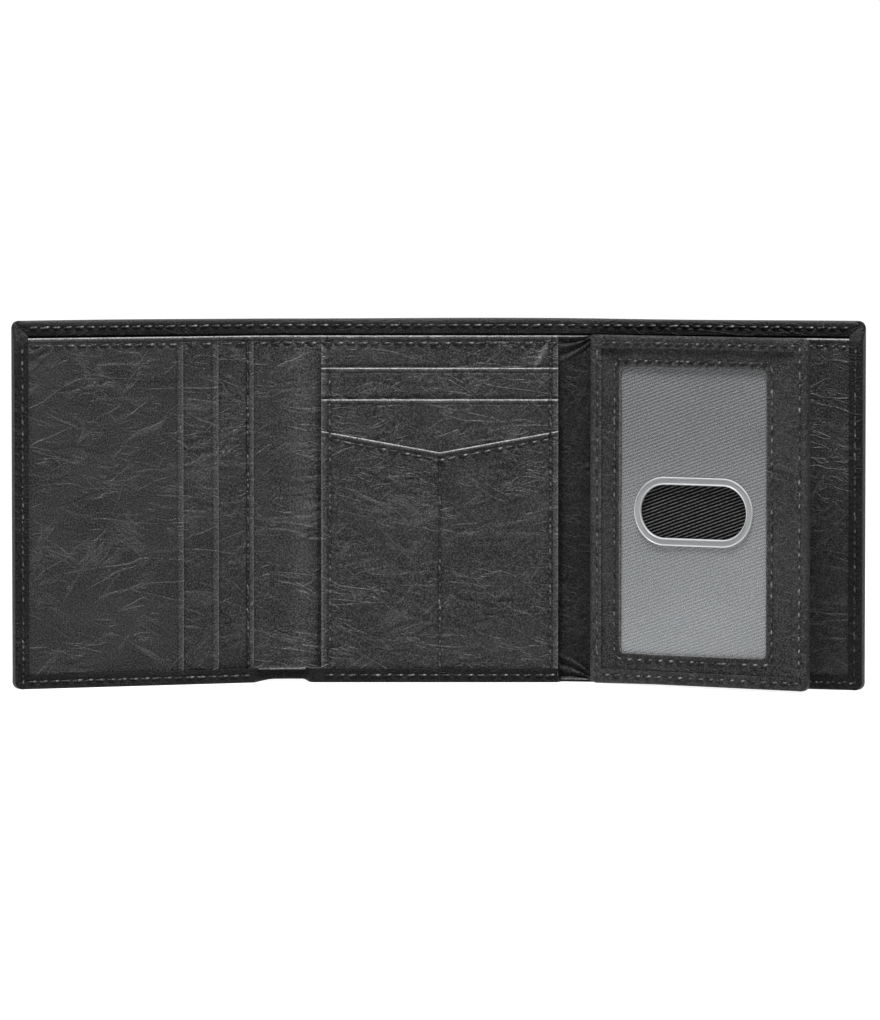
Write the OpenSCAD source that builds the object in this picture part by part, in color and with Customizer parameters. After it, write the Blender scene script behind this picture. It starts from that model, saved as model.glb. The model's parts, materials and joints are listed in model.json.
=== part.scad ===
// Trifold leather wallet, standing open on its bottom edge.
// The wallet is laid out flat first: u runs along X from the left edge, z runs up, and depth is
// measured from the outer face of the shell towards the pockets (-Y). Each panel is then turned
// about its crease into the half-open rest position.

/* [Overall] */
// Height of the shell, bottom edge to top edge
wallet_h = 102; // [90:0.5:125]
// Width of the left panel, outer edge to its crease
left_panel_w = 70; // [60:0.5:84]
// Width of the narrow fold between the left and centre panels
left_fold_w = 8; // [7.5:0.5:14]
// Width of the centre panel, crease to crease
centre_w = 77; // [72:0.5:95]
// Width of the narrow fold between the centre and right panels
right_fold_w = 9; // [8.5:0.5:14]
// Width of the right panel, its crease to its outer edge
right_panel_w = 79; // [74:0.5:82]
// How far the inner panels stop below the top of the shell
bill_mouth_drop = 5; // [4.6:0.2:12]

/* [Rest position] */
// Turn at each of the two left creases
left_crease_turn = 10; // [0:1:30]
// Turn at each of the two right creases
right_crease_turn = 10; // [0:1:20]
// Turn of the card window flap away from the right panel
flap_turn = 11; // [0:1:60]

/* [Leather and lining] */
// Thickness of the shell leather
shell_t = 0.9; // [0.6:0.05:1.2]
// Thickness of the fabric lining
lining_t = 0.25; // [0.15:0.05:0.4]
// Depth left free for banknotes
bill_gap = 0.55; // [0.3:0.05:1]
// Thickness of the panel and pocket leather
panel_t = 0.5; // [0.3:0.05:0.6]
// Air between one pocket leather and the next
slot_gap = 0.1; // [0.05:0.05:0.2]
// Thickness of a turned edge
hem_t = 0.6; // [0.4:0.05:0.7]

/* [Creases] */
// Depth of the left crease axes
left_crease_depth = 5; // [4.8:0.1:7]
// Depth of the right crease axes
right_crease_depth = 1.8; // [1.6:0.1:3]
// Gap between a folded crease strip and the pockets beside it
crease_gap = 0.4; // [0.3:0.1:1]

/* [Edges and seams] */
// Width of a turned edge on the front
hem_w = 4; // [3:0.5:6]
// Width of the leather that wraps round an edge
wrap_w = 1; // [0.6:0.1:1.5]
// Radius of the outer corners
corner_r = 2; // [0.5:0.5:4]
// Distance from an edge to its row of stitches
seam_inset = 2; // [1.5:0.25:3]
// Width of a row of stitches
thread_w = 0.5; // [0.3:0.1:0.8]
// Height of a row of stitches above the leather
thread_t = 0.12; // [0.05:0.01:0.2]
// Free gap under the narrow fold leathers
fold_foot_gap = 3.6; // [2:0.2:6]

/* [Centre pockets] */
// Width of the plain strip beside the centre pockets
plain_strip_w = 10; // [6:0.5:16]
// Drop from the panel's top edge to the first pocket
first_pocket_drop = 9; // [6:0.5:14]
// Drop from one pocket to the next
pocket_step = 8.8; // [6:0.2:12]
// How far the middle of the lowest pocket is cut down
v_cut_drop = 6; // [2:0.5:12]

/* [Side card slots] */
// Distance between neighbouring slot edges
slot_step = 10.5; // [7:0.5:13]

/* [Card window flap] */
// Width of the flap
flap_w = 68.3; // [64:0.1:70]
// Gap under the flap
flap_foot_gap = 0.6; // [0.4:0.1:3]
// Gap between the flap's root and the crease strip
flap_root_gap = 1.2; // [1:0.1:2]
// Gap behind the flap when it lies against its panel
flap_back_gap = 0.35; // [0.3:0.05:0.5]
// Distance from the flap's root to the window
window_from_root = 9.2; // [8:0.2:12]
// Distance from the flap's free edge to the window
window_from_edge = 13.1; // [9:0.1:16]
// Distance from the flap's bottom edge to the window
window_from_foot = 8.5; // [7.5:0.1:12]
// Distance from the flap's top edge to the window
window_from_top = 8.9; // [7.5:0.1:12]
// Thickness of the clear film
film_t = 0.2; // [0.1:0.05:0.3]
// How far the film is tucked under its frame
film_tuck = 3; // [2:0.5:4]
// Room for a card behind the film
card_gap = 0.3; // [0.2:0.05:0.8]
// Thickness of the twill behind the card
twill_t = 0.3; // [0.15:0.05:0.5]
// Distance from each side of the window to the thumb notch
notch_side_margin = 6.4; // [3:0.2:12]
// Height of the thumb notch hole
notch_h = 14.8; // [10:0.2:20]
// Width of the raised rim round the thumb notch
notch_rim_w = 2.2; // [1:0.2:3]
// Height of the raised rim above the film
notch_rim_t = 0.35; // [0.1:0.05:0.5]

/* [Hidden] */

leather_shade = [0.13, 0.13, 0.14];
edge_shade = [0.10, 0.10, 0.11];
pocket_shade = [0.18, 0.18, 0.19];
lining_shade = [0.07, 0.07, 0.08];
thread_shade = [0.04, 0.04, 0.04];
film_shade = [0.62, 0.63, 0.66, 0.6];

// Crease lines along the flat wallet
u_left_outer = left_panel_w;
u_left_inner = u_left_outer + left_fold_w;
u_right_inner = u_left_inner + centre_w;
u_right_outer = u_right_inner + right_fold_w;
u_end = u_right_outer + right_panel_w;

// Heights
panel_top = wallet_h - bill_mouth_drop;
top_hem_low = panel_top + 0.5;
first_pocket_top = panel_top - first_pocket_drop;
second_pocket_top = first_pocket_top - pocket_step;
third_pocket_top = second_pocket_top - pocket_step;

// Depths
lining_front = shell_t + lining_t;
panel_back = lining_front + bill_gap;
panel_front = panel_back + panel_t;
pocket_pitch = panel_t + slot_gap;
function pocket_front(layer) = panel_front + layer * pocket_pitch;
side_stack = pocket_front(2) + hem_t;
centre_stack = pocket_front(3) + hem_t;

// Where the pockets beside the right creases have to stop
strip_reach = panel_front - right_crease_depth + crease_gap;
u_centre_end = u_right_inner - strip_reach;
u_right_start = u_right_outer + strip_reach;
u_pockets = u_left_inner + plain_strip_w;
u_pocket_middle = (u_pockets + u_centre_end) / 2;

// Card window flap
flap_u = u_right_outer + flap_root_gap;
flap_end = flap_u + flap_w;
flap_low = flap_foot_gap;
flap_high = panel_top + 0.5;
flap_depth = side_stack + flap_back_gap;
twill_back = flap_depth + panel_t;
film_back = twill_back + twill_t + card_gap;
frame_back = film_back + film_t;
frame_front = frame_back + panel_t;
flap_front = frame_front + hem_t;
window_u = flap_u + window_from_root;
window_z = flap_low + window_from_foot;
window_w = flap_w - window_from_root - window_from_edge;
window_h = flap_high - flap_low - window_from_foot - window_from_top;
notch_w = window_w - 2 * notch_side_margin;
notch_u = window_u + window_w / 2;
notch_z = window_z + window_h / 2;
window_r = 1.5;
window_seam_gap = 2;

// Crease axes on the flat wallet
left_inner_axis = [u_left_inner, -left_crease_depth];
left_outer_axis = [u_left_outer, -left_crease_depth];
right_inner_axis = [u_right_inner, -right_crease_depth];
right_outer_axis = [u_right_outer, -right_crease_depth];
flap_axis = [flap_u - 0.2, -(flap_depth + flap_front) / 2];

// Points carried from the flat wallet into the rest position
function turned(p, axis, angle) = [
  axis.x + (p.x - axis.x) * cos(angle) - (p.y - axis.y) * sin(angle),
  axis.y + (p.x - axis.x) * sin(angle) + (p.y - axis.y) * cos(angle)
];
function left_fold_point(p) = turned(p, left_inner_axis, left_crease_turn);
function left_panel_point(p) =
  left_fold_point(turned(p, left_outer_axis, left_crease_turn));
function right_fold_point(p) = turned(p, right_inner_axis, -right_crease_turn);
function right_panel_point(p) =
  right_fold_point(turned(p, right_outer_axis, -right_crease_turn));
function flap_point(p) = right_panel_point(turned(p, flap_axis, -flap_turn));

// The origin is the middle of the wallet's footprint, on the surface it stands on
x_low = left_panel_point([0, 0]).x;
x_high = right_panel_point([u_end, 0]).x;
y_low = min(
  flap_point([flap_end, -flap_front]).y,
  left_panel_point([0, -side_stack]).y
);
origin = [(x_low + x_high) / 2, y_low / 2];

module turn_about(axis, angle)
  translate([axis.x, axis.y, 0])
    rotate([0, 0, angle])
      translate([-axis.x, -axis.y, 0])
        children();

module on_centre()
  translate([-origin.x, -origin.y, 0])
    children();

module on_left_fold()
  on_centre()
    turn_about(left_inner_axis, left_crease_turn)
      children();

module on_left_panel()
  on_left_fold()
    turn_about(left_outer_axis, left_crease_turn)
      children();

module on_right_fold()
  on_centre()
    turn_about(right_inner_axis, -right_crease_turn)
      children();

module on_right_panel()
  on_right_fold()
    turn_about(right_outer_axis, -right_crease_turn)
      children();

module on_flap()
  on_right_panel()
    turn_about(flap_axis, -flap_turn)
      children();

// A sheet cut to a flat outline, lying between two depths
module sheet(depth_back, depth_front)
  rotate([90, 0, 0])
    translate([0, 0, depth_back])
      linear_extrude(depth_front - depth_back)
        children();

module oblong(u_low, u_high, z_low, z_high)
  translate([u_low, z_low])
    square([u_high - u_low, z_high - z_low]);

// An oblong with its two left or two right corners rounded
module round_ended(u_low, u_high, z_low, z_high, r, left_end) {
  u_square = left_end ? u_low + r : u_low;
  u_round = left_end ? u_low + r : u_high - r;
  oblong(u_square, left_end ? u_high : u_high - r, z_low, z_high);
  oblong(u_low, u_high, z_low + r, z_high - r);
  for (z_mid = [z_low + r, z_high - r])
    translate([u_round, z_mid])
      circle(r, $fn = 48);
}

module rounded(u_low, u_high, z_low, z_high, r) {
  oblong(u_low + r, u_high - r, z_low, z_high);
  oblong(u_low, u_high, z_low + r, z_high - r);
  for (u_mid = [u_low + r, u_high - r], z_mid = [z_low + r, z_high - r])
    translate([u_mid, z_mid])
      circle(r, $fn = 48);
}

module stadium(w, h) {
  oblong(notch_u - (w - h) / 2, notch_u + (w - h) / 2, notch_z - h / 2, notch_z + h / 2);
  for (side = [-1, 1])
    translate([notch_u + side * (w - h) / 2, notch_z])
      circle(h / 2, $fn = 64);
}

// A bottom edge turned up onto the pockets: the wrap under them and the hem in front
module bottom_edge(u_low, u_high, mitre_low, mitre_high, depth_front) {
  sheet(shell_t, depth_front - hem_t)
    oblong(u_low, u_high, 0, wrap_w);
  sheet(depth_front - hem_t, depth_front)
    polygon([
      [u_low, 0], [u_high, 0], [u_high - mitre_high, hem_w], [u_low + mitre_low, hem_w]
    ]);
}

// A side edge turned in onto the pockets; side is 1 where the wallet lies to its right
module side_edge(u_edge, side) {
  u_wrap = u_edge + side * wrap_w;
  u_hem = u_edge + side * hem_w;
  sheet(shell_t, side_stack - hem_t)
    oblong(min(u_edge, u_wrap), max(u_edge, u_wrap), wrap_w, panel_top);
  sheet(side_stack - hem_t, side_stack)
    polygon([[u_edge, 0], [u_hem, hem_w], [u_hem, panel_top], [u_edge, panel_top]]);
}

// Rows of stitches on a surface at the given depth
module row_along(u_low, u_high, z_mid, depth)
  sheet(depth, depth + thread_t)
    oblong(u_low, u_high, z_mid - thread_w / 2, z_mid + thread_w / 2);

module row_up(u_mid, z_low, z_high, depth)
  sheet(depth, depth + thread_t)
    oblong(u_mid - thread_w / 2, u_mid + thread_w / 2, z_low, z_high);

module row_between(from, to, depth) {
  run = to - from;
  sheet(depth, depth + thread_t)
    translate(from)
      rotate(atan2(run.y, run.x))
        translate([0, -thread_w / 2])
          square([norm(run), thread_w]);
}

// Parts that every panel has
module shell_sheet(u_low, u_high)
  color(leather_shade)
    sheet(0, shell_t)
      oblong(u_low, u_high, 0, wallet_h);

module top_hem_sheet(u_low, u_high)
  color(edge_shade)
    sheet(shell_t, shell_t + hem_t)
      oblong(u_low, u_high, top_hem_low, wallet_h - 0.2);

module bill_lining_sheet(u_low, u_high)
  color(lining_shade)
    sheet(shell_t, lining_front)
      oblong(u_low, u_high, wrap_w, panel_top);

module top_seam(u_low, u_high)
  color(thread_shade)
    row_along(u_low, u_high, wallet_h - seam_inset, shell_t + hem_t);

// Centre panel
module centre_shell() on_centre() shell_sheet(u_left_inner, u_right_inner);

module centre_top_hem() on_centre() top_hem_sheet(u_left_inner, u_right_inner);

module centre_bill_lining() on_centre() bill_lining_sheet(u_left_inner, u_right_inner);

module centre_inner_panel()
  color(pocket_shade)
    on_centre()
      sheet(panel_back, panel_front)
        oblong(u_left_inner, u_centre_end, wrap_w, panel_top);

module centre_pocket(layer, z_high)
  color(pocket_shade)
    on_centre()
      sheet(pocket_front(layer) - panel_t, pocket_front(layer))
        oblong(u_pockets, u_centre_end, wrap_w, z_high);

module upper_card_pocket() centre_pocket(1, first_pocket_top);

module middle_card_pocket() centre_pocket(2, second_pocket_top);

module v_card_pocket()
  color(pocket_shade)
    on_centre()
      sheet(pocket_front(3) - panel_t, pocket_front(3))
        polygon([
          [u_pockets, wrap_w], [u_centre_end, wrap_w], [u_centre_end, third_pocket_top],
          [u_pocket_middle, third_pocket_top - v_cut_drop], [u_pockets, third_pocket_top]
        ]);

module centre_bottom_hem()
  color(edge_shade)
    on_centre()
      bottom_edge(u_left_inner, u_centre_end, 0, 0, centre_stack);

module centre_top_stitching() on_centre() top_seam(u_left_inner, u_right_inner);

module centre_panel_stitching()
  color(thread_shade)
    on_centre()
      row_along(u_left_inner, u_centre_end, panel_top - seam_inset, panel_front);

// The two sides, the V and the divider of the lowest pocket, as one group
module pocket_stitching()
  color(thread_shade)
    on_centre() {
      v_drop = third_pocket_top - seam_inset;
      v_point = [u_pocket_middle, v_drop - v_cut_drop];
      u_left_row = u_pockets + seam_inset;
      u_right_row = u_centre_end - seam_inset;
      row_up(u_left_row, hem_w, v_drop - seam_inset, pocket_front(3));
      row_up(u_right_row, hem_w, v_drop - seam_inset, pocket_front(3));
      row_between([u_left_row, v_drop], v_point, pocket_front(3));
      row_between([u_right_row, v_drop], v_point, pocket_front(3));
      row_up(u_pocket_middle, hem_w, v_point.y - seam_inset, pocket_front(3));
    }

module centre_bottom_stitching()
  color(thread_shade)
    on_centre()
      row_along(u_left_inner, u_centre_end, seam_inset, centre_stack);

// The narrow folds
module fold_bottom_hem(u_low, u_high)
  color(edge_shade)
    sheet(shell_t, shell_t + hem_t)
      oblong(u_low, u_high, 0, wrap_w);

module fold_leather(u_low, u_high)
  color(leather_shade)
    sheet(panel_back, panel_front)
      oblong(u_low, u_high, fold_foot_gap, panel_top);

module left_fold_shell() on_left_fold() shell_sheet(u_left_outer, u_left_inner);

module left_fold_top_hem() on_left_fold() top_hem_sheet(u_left_outer, u_left_inner);

module left_fold_bottom_hem() on_left_fold() fold_bottom_hem(u_left_outer, u_left_inner);

module left_fold_bill_lining() on_left_fold() bill_lining_sheet(u_left_outer, u_left_inner);

module left_fold_leather() on_left_fold() fold_leather(u_left_outer, u_left_inner);

module left_fold_stitching() on_left_fold() top_seam(u_left_outer, u_left_inner);

module right_fold_shell() on_right_fold() shell_sheet(u_right_inner, u_right_outer);

module right_fold_top_hem() on_right_fold() top_hem_sheet(u_right_inner, u_right_outer);

module right_fold_bottom_hem() on_right_fold() fold_bottom_hem(u_right_inner, u_right_outer);

module right_fold_bill_lining() on_right_fold() bill_lining_sheet(u_right_inner, u_right_outer);

module right_fold_leather()
  on_right_fold()
    fold_leather(u_right_inner + crease_gap, u_right_outer - crease_gap);

module right_fold_stitching() on_right_fold() top_seam(u_right_inner, u_right_outer);

// Left panel
module left_shell()
  color(leather_shade)
    on_left_panel()
      sheet(0, shell_t)
        round_ended(0, u_left_outer, 0, wallet_h, corner_r, true);

module left_top_hem() on_left_panel() top_hem_sheet(corner_r, u_left_outer);

module left_bill_lining() on_left_panel() bill_lining_sheet(wrap_w, u_left_outer);

module left_leaf(layer, u_high)
  color(pocket_shade)
    on_left_panel()
      sheet(pocket_front(layer) - panel_t, pocket_front(layer))
        oblong(wrap_w, u_high, wrap_w, panel_top);

module left_inner_panel() left_leaf(0, u_left_outer);

module left_middle_pocket() left_leaf(1, u_left_outer - slot_step);

module left_front_pocket() left_leaf(2, u_left_outer - 2 * slot_step);

module left_side_hem() color(edge_shade) on_left_panel() side_edge(0, 1);

module left_bottom_hem()
  color(edge_shade)
    on_left_panel()
      bottom_edge(0, u_left_outer, hem_w, 0, side_stack);

module left_top_stitching() on_left_panel() top_seam(corner_r, u_left_outer);

// The row beside the slot edge and the row along the top of the panel
module left_panel_stitching()
  color(thread_shade)
    on_left_panel() {
      row_up(u_left_outer - seam_inset, hem_w, panel_top - 2 * seam_inset, panel_front);
      row_along(hem_w, u_left_outer - 2 * slot_step, panel_top - seam_inset, pocket_front(2));
    }

module left_edge_stitching()
  color(thread_shade)
    on_left_panel() {
      row_up(seam_inset, seam_inset + hem_w, panel_top - seam_inset, side_stack);
      row_along(seam_inset + hem_w, u_left_outer, seam_inset, side_stack);
    }

// Right panel
module right_shell()
  color(leather_shade)
    on_right_panel()
      sheet(0, shell_t)
        round_ended(u_right_outer, u_end, 0, wallet_h, corner_r, false);

module right_top_hem() on_right_panel() top_hem_sheet(u_right_outer, u_end - corner_r);

module right_bill_lining() on_right_panel() bill_lining_sheet(u_right_outer, u_end - wrap_w);

module right_leaf(layer, u_low)
  color(pocket_shade)
    on_right_panel()
      sheet(pocket_front(layer) - panel_t, pocket_front(layer))
        oblong(u_low, u_end - wrap_w, wrap_w, panel_top);

module right_inner_panel() right_leaf(0, u_right_start);

module right_middle_pocket() right_leaf(1, u_right_start + slot_step);

module right_front_pocket() right_leaf(2, u_right_start + 2 * slot_step);

module right_side_hem() color(edge_shade) on_right_panel() side_edge(u_end, -1);

module right_bottom_hem()
  color(edge_shade)
    on_right_panel()
      bottom_edge(u_right_start, u_end, 0, hem_w, side_stack);

// The leather strip that carries the flap, sewn to the root of the right panel
module flap_hinge_strip()
  color(leather_shade)
    on_right_panel()
      sheet(panel_front, side_stack)
        oblong(u_right_start, u_right_start + hem_w, hem_w, panel_top);

module right_top_stitching() on_right_panel() top_seam(u_right_outer, u_end - corner_r);

module right_panel_stitching()
  color(thread_shade)
    on_right_panel()
      row_along(
        u_right_start + 2 * slot_step, u_end - hem_w, panel_top - seam_inset, pocket_front(2)
      );

module right_edge_stitching()
  color(thread_shade)
    on_right_panel() {
      row_up(u_end - seam_inset, seam_inset + hem_w, panel_top - seam_inset, side_stack);
      row_along(u_right_start, u_end - seam_inset - hem_w, seam_inset, side_stack);
    }

// Card window flap
module flap_back()
  color(leather_shade)
    on_flap()
      sheet(flap_depth, twill_back)
        round_ended(flap_u, flap_end, flap_low, flap_high, corner_r, false);

module window_twill()
  color(lining_shade)
    on_flap()
      sheet(twill_back, twill_back + twill_t)
        oblong(flap_u + wrap_w, flap_end - wrap_w, flap_low + wrap_w, flap_high - wrap_w);

module window_film()
  color(film_shade)
    on_flap()
      sheet(film_back, frame_back)
        difference() {
          oblong(
            window_u - film_tuck, window_u + window_w + film_tuck,
            window_z - film_tuck, window_z + window_h + film_tuck
          );
          stadium(notch_w, notch_h);
        }

module notch_rim()
  color(film_shade)
    on_flap()
      sheet(frame_back, frame_back + notch_rim_t)
        difference() {
          stadium(notch_w + 2 * notch_rim_w, notch_h + 2 * notch_rim_w);
          stadium(notch_w, notch_h);
        }

module flap_frame()
  color(leather_shade)
    on_flap()
      sheet(frame_back, frame_front)
        difference() {
          oblong(flap_u, flap_end - wrap_w, flap_low + wrap_w, flap_high - wrap_w);
          rounded(window_u, window_u + window_w, window_z, window_z + window_h, window_r);
        }

// A long edge of the flap, wrapped and turned onto its frame; up is 1 at the foot, -1 at the top
module flap_long_edge(z_edge, up)
  color(edge_shade)
    on_flap() {
      z_wrap = z_edge + up * wrap_w;
      z_hem = z_edge + up * hem_w;
      sheet(twill_back, frame_front)
        oblong(flap_u, flap_end - corner_r, min(z_edge, z_wrap), max(z_edge, z_wrap));
      sheet(frame_front, flap_front)
        polygon([
          [flap_u, z_edge], [flap_end - corner_r, z_edge],
          [flap_end - corner_r, z_edge + up * corner_r], [flap_end - hem_w, z_hem],
          [flap_u, z_hem]
        ]);
    }

module flap_top_hem() flap_long_edge(flap_high, -1);

module flap_bottom_hem() flap_long_edge(flap_low, 1);

module flap_side_hem()
  color(edge_shade)
    on_flap() {
      sheet(twill_back, frame_front)
        oblong(flap_end - wrap_w, flap_end, flap_low + corner_r, flap_high - corner_r);
      sheet(frame_front, flap_front)
        polygon([
          [flap_end, flap_low + corner_r], [flap_end, flap_high - corner_r],
          [flap_end - corner_r, flap_high - corner_r], [flap_end - hem_w, flap_high - hem_w],
          [flap_end - hem_w, flap_low + hem_w], [flap_end - corner_r, flap_low + corner_r]
        ]);
    }

module flap_edge_stitching()
  color(thread_shade)
    on_flap() {
      row_along(flap_u, flap_end - hem_w, flap_low + seam_inset, flap_front);
      row_along(flap_u, flap_end - hem_w, flap_high - seam_inset, flap_front);
      row_up(flap_end - seam_inset, flap_low + hem_w, flap_high - hem_w, flap_front);
      row_up(flap_u + seam_inset, flap_low + hem_w, flap_high - hem_w, frame_front);
    }

module window_stitching()
  color(thread_shade)
    on_flap()
      sheet(frame_front, frame_front + thread_t)
        difference() {
          rounded(
            window_u - window_seam_gap, window_u + window_w + window_seam_gap,
            window_z - window_seam_gap, window_z + window_h + window_seam_gap, window_r
          );
          rounded(
            window_u - window_seam_gap + thread_w, window_u + window_w + window_seam_gap - thread_w,
            window_z - window_seam_gap + thread_w, window_z + window_h + window_seam_gap - thread_w,
            window_r - thread_w
          );
        }

centre_shell();
centre_top_hem();
centre_bill_lining();
centre_inner_panel();
upper_card_pocket();
middle_card_pocket();
v_card_pocket();
centre_bottom_hem();
centre_top_stitching();
centre_panel_stitching();
pocket_stitching();
centre_bottom_stitching();
left_fold_shell();
left_fold_top_hem();
left_fold_bottom_hem();
left_fold_bill_lining();
left_fold_leather();
left_fold_stitching();
left_shell();
left_top_hem();
left_bill_lining();
left_inner_panel();
left_middle_pocket();
left_front_pocket();
left_side_hem();
left_bottom_hem();
left_top_stitching();
left_panel_stitching();
left_edge_stitching();
right_fold_shell();
right_fold_top_hem();
right_fold_bottom_hem();
right_fold_bill_lining();
right_fold_leather();
right_fold_stitching();
right_shell();
right_top_hem();
right_bill_lining();
right_inner_panel();
right_middle_pocket();
right_front_pocket();
right_side_hem();
right_bottom_hem();
flap_hinge_strip();
right_top_stitching();
right_panel_stitching();
right_edge_stitching();
flap_back();
window_twill();
window_film();
notch_rim();
flap_frame();
flap_top_hem();
flap_bottom_hem();
flap_side_hem();
flap_edge_stitching();
window_stitching();
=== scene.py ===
"""A black leather trifold wallet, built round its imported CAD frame.

Every piece is worked out on the flat wallet, in millimetres: u runs from the left edge to the
right, z runs up, and depth d runs from the outer face of the shell towards the pockets. placed()
then turns each panel about its crease, as the CAD does, and returns points in the row frame.
"""

import json
import math
from collections import namedtuple

import bpy
import numpy as np
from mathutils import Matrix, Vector


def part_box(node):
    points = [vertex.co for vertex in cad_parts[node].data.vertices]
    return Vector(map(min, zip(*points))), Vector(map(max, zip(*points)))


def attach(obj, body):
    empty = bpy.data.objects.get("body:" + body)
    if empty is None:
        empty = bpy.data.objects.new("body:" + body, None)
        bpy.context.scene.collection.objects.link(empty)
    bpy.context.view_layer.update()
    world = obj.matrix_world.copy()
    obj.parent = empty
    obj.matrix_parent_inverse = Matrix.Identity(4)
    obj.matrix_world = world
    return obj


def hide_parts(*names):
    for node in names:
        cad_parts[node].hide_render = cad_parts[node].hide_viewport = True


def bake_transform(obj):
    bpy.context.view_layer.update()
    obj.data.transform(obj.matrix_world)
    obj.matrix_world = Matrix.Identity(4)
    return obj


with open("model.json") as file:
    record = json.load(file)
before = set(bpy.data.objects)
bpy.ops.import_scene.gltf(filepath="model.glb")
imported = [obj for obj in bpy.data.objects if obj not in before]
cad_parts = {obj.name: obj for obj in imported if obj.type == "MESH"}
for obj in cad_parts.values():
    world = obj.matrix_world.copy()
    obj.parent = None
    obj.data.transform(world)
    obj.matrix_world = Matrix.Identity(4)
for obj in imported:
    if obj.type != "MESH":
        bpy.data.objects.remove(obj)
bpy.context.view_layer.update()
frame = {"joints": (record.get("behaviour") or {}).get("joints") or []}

MM = 0.001


# ---------------------------------------------------------------- the frame, in millimetres
def box_mm(node):
    """Lowest and highest corner of a CAD node at rest."""
    low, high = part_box(node)
    return np.array(low) / MM, np.array(high) / MM


JOINT_AT = {j["name"]: np.array(j["pos_m"]) / MM for j in frame["joints"]}
BACK_Y = box_mm("centre_shell")[1][1]
POCKET_NODES = ("upper_card_pocket", "middle_card_pocket", "v_card_pocket")


def depth_of(node):
    """Depth of the front of a CAD node on the centre panel."""
    return BACK_Y - box_mm(node)[0][1]


def top_of(node):
    return box_mm(node)[1][2]


def apart(joint_a, joint_b):
    return float(np.linalg.norm((JOINT_AT[joint_a] - JOINT_AT[joint_b])[:2]))


U_LEFT_OUTER = 70.0
RIGHT_W = 79.0
U_LEFT_INNER = U_LEFT_OUTER + apart("left_outer_crease", "left_inner_crease")
U_RIGHT_INNER = U_LEFT_INNER + apart("left_inner_crease", "right_inner_crease")
U_RIGHT_OUTER = U_RIGHT_INNER + apart("right_inner_crease", "right_outer_crease")
U_END = U_RIGHT_OUTER + RIGHT_W
X_SHIFT = JOINT_AT["left_inner_crease"][0] - U_LEFT_INNER
U_POCKETS, U_CENTRE_END = (box_mm("upper_card_pocket")[i][0] - X_SHIFT for i in (0, 1))
U_POCKET_MIDDLE = (U_POCKETS + U_CENTRE_END) / 2

WALLET_H = top_of("centre_shell")
PANEL_TOP = top_of("centre_inner_panel")
POCKET_TOPS = [top_of(node) for node in POCKET_NODES]
PANEL_D = depth_of("centre_inner_panel")
POCKET_D = [depth_of(node) for node in POCKET_NODES]
CENTRE_STACK = depth_of("centre_bottom_hem")
SIDE_STACK = POCKET_D[1] + 0.6
LEAF_D = [PANEL_D, POCKET_D[0], POCKET_D[1]]
LEATHER_T = 0.5
SHELL_T = 0.72
HEM_T = 0.55
V_DROP = 6.0
HEM_W = 4.0
TOP_HEM_LOW = PANEL_TOP + 0.5
INNER_LOW = 0.75
SEAM_INSET = 2.1
TOP_SEAM = PANEL_TOP - SEAM_INSET
SLOT_STEP = 10.5
FOLD_FOOT = top_of("left_fold_bottom_hem") + 2.6
BLOCK_HEM_U = U_POCKETS - 4.0
CORNER_R = 2.0
FOLD_R = 0.7
TOP_R = 0.75
EDGE_R = 0.3
TOP_BEAD_W = 1.1
SIDE_BEAD_W = 1.6
PLEAT_REACH = 9.0

# The card window flap
FLAP_U = U_RIGHT_OUTER + 1.2
FLAP_END = FLAP_U + 68.3
FLAP_LOW = box_mm("flap_bottom_hem")[0][2]
FLAP_HIGH = top_of("flap_top_hem")
FLAP_D = SIDE_STACK + 0.35
TWILL_D = FLAP_D + 0.5
FILM_D = TWILL_D + 0.6
FRAME_D = FILM_D + 0.7
FLAP_FRONT = FRAME_D + 0.6
FLAP_HEM_W = 3.7
ROOT_STRIP_D = SIDE_STACK - 0.05
WINDOW_U = FLAP_U + 9.2
WINDOW_W = 46.0
WINDOW_LOW = FLAP_LOW + 8.5
WINDOW_H = FLAP_HIGH - 8.9 - WINDOW_LOW
WINDOW_SEAM = 1.9
FILM_TUCK = 2.6
NOTCH_W = 33.2
NOTCH_H = 14.8
NOTCH_RIM = 2.2
NOTCH_AT = (WINDOW_U + WINDOW_W / 2, WINDOW_LOW + WINDOW_H / 2)


# ---------------------------------------------------------------- small helpers
def smooth(value, low, high):
    t = np.clip((value - low) / (high - low), 0, 1)
    return t * t * (3 - 2 * t)


def bell(value, width):
    return np.exp(-((value / width) ** 2))


def arc(*degrees):
    """The cosine and sine at each of some angles."""
    return [(math.cos(a), math.sin(a)) for a in np.radians(degrees)]


def linked(name, data):
    made = bpy.data.objects.new(name, data)
    bpy.context.scene.collection.objects.link(made)
    return made


def aimed(made, at, aim):
    """Moves a light or the camera, and points it."""
    made.location = at
    made.rotation_euler = (Vector(aim) - Vector(at)).to_track_quat("-Z", "Y").to_euler()


# ---------------------------------------------------------------- folding the flat wallet
Crease = namedtuple("Crease", "u depth turn zone")
LEFT_DEPTH = BACK_Y - JOINT_AT["left_inner_crease"][1]
RIGHT_DEPTH = BACK_Y - JOINT_AT["right_inner_crease"][1]
LEFT_ZONE = (U_LEFT_INNER - U_LEFT_OUTER) / 2
RIGHT_ZONE = (U_RIGHT_OUTER - U_RIGHT_INNER) / 2
LEFT_OUTER = Crease(U_LEFT_OUTER, LEFT_DEPTH, 10, LEFT_ZONE)
LEFT_INNER = Crease(U_LEFT_INNER, LEFT_DEPTH, 10, LEFT_ZONE)
RIGHT_INNER = Crease(U_RIGHT_INNER, RIGHT_DEPTH, -10, RIGHT_ZONE)
RIGHT_OUTER = Crease(U_RIGHT_OUTER, RIGHT_DEPTH, -10, RIGHT_ZONE)
FLAP_ROOT = Crease(FLAP_U - 0.2, (FLAP_D + FLAP_FRONT) / 2, -11, 0)

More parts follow.
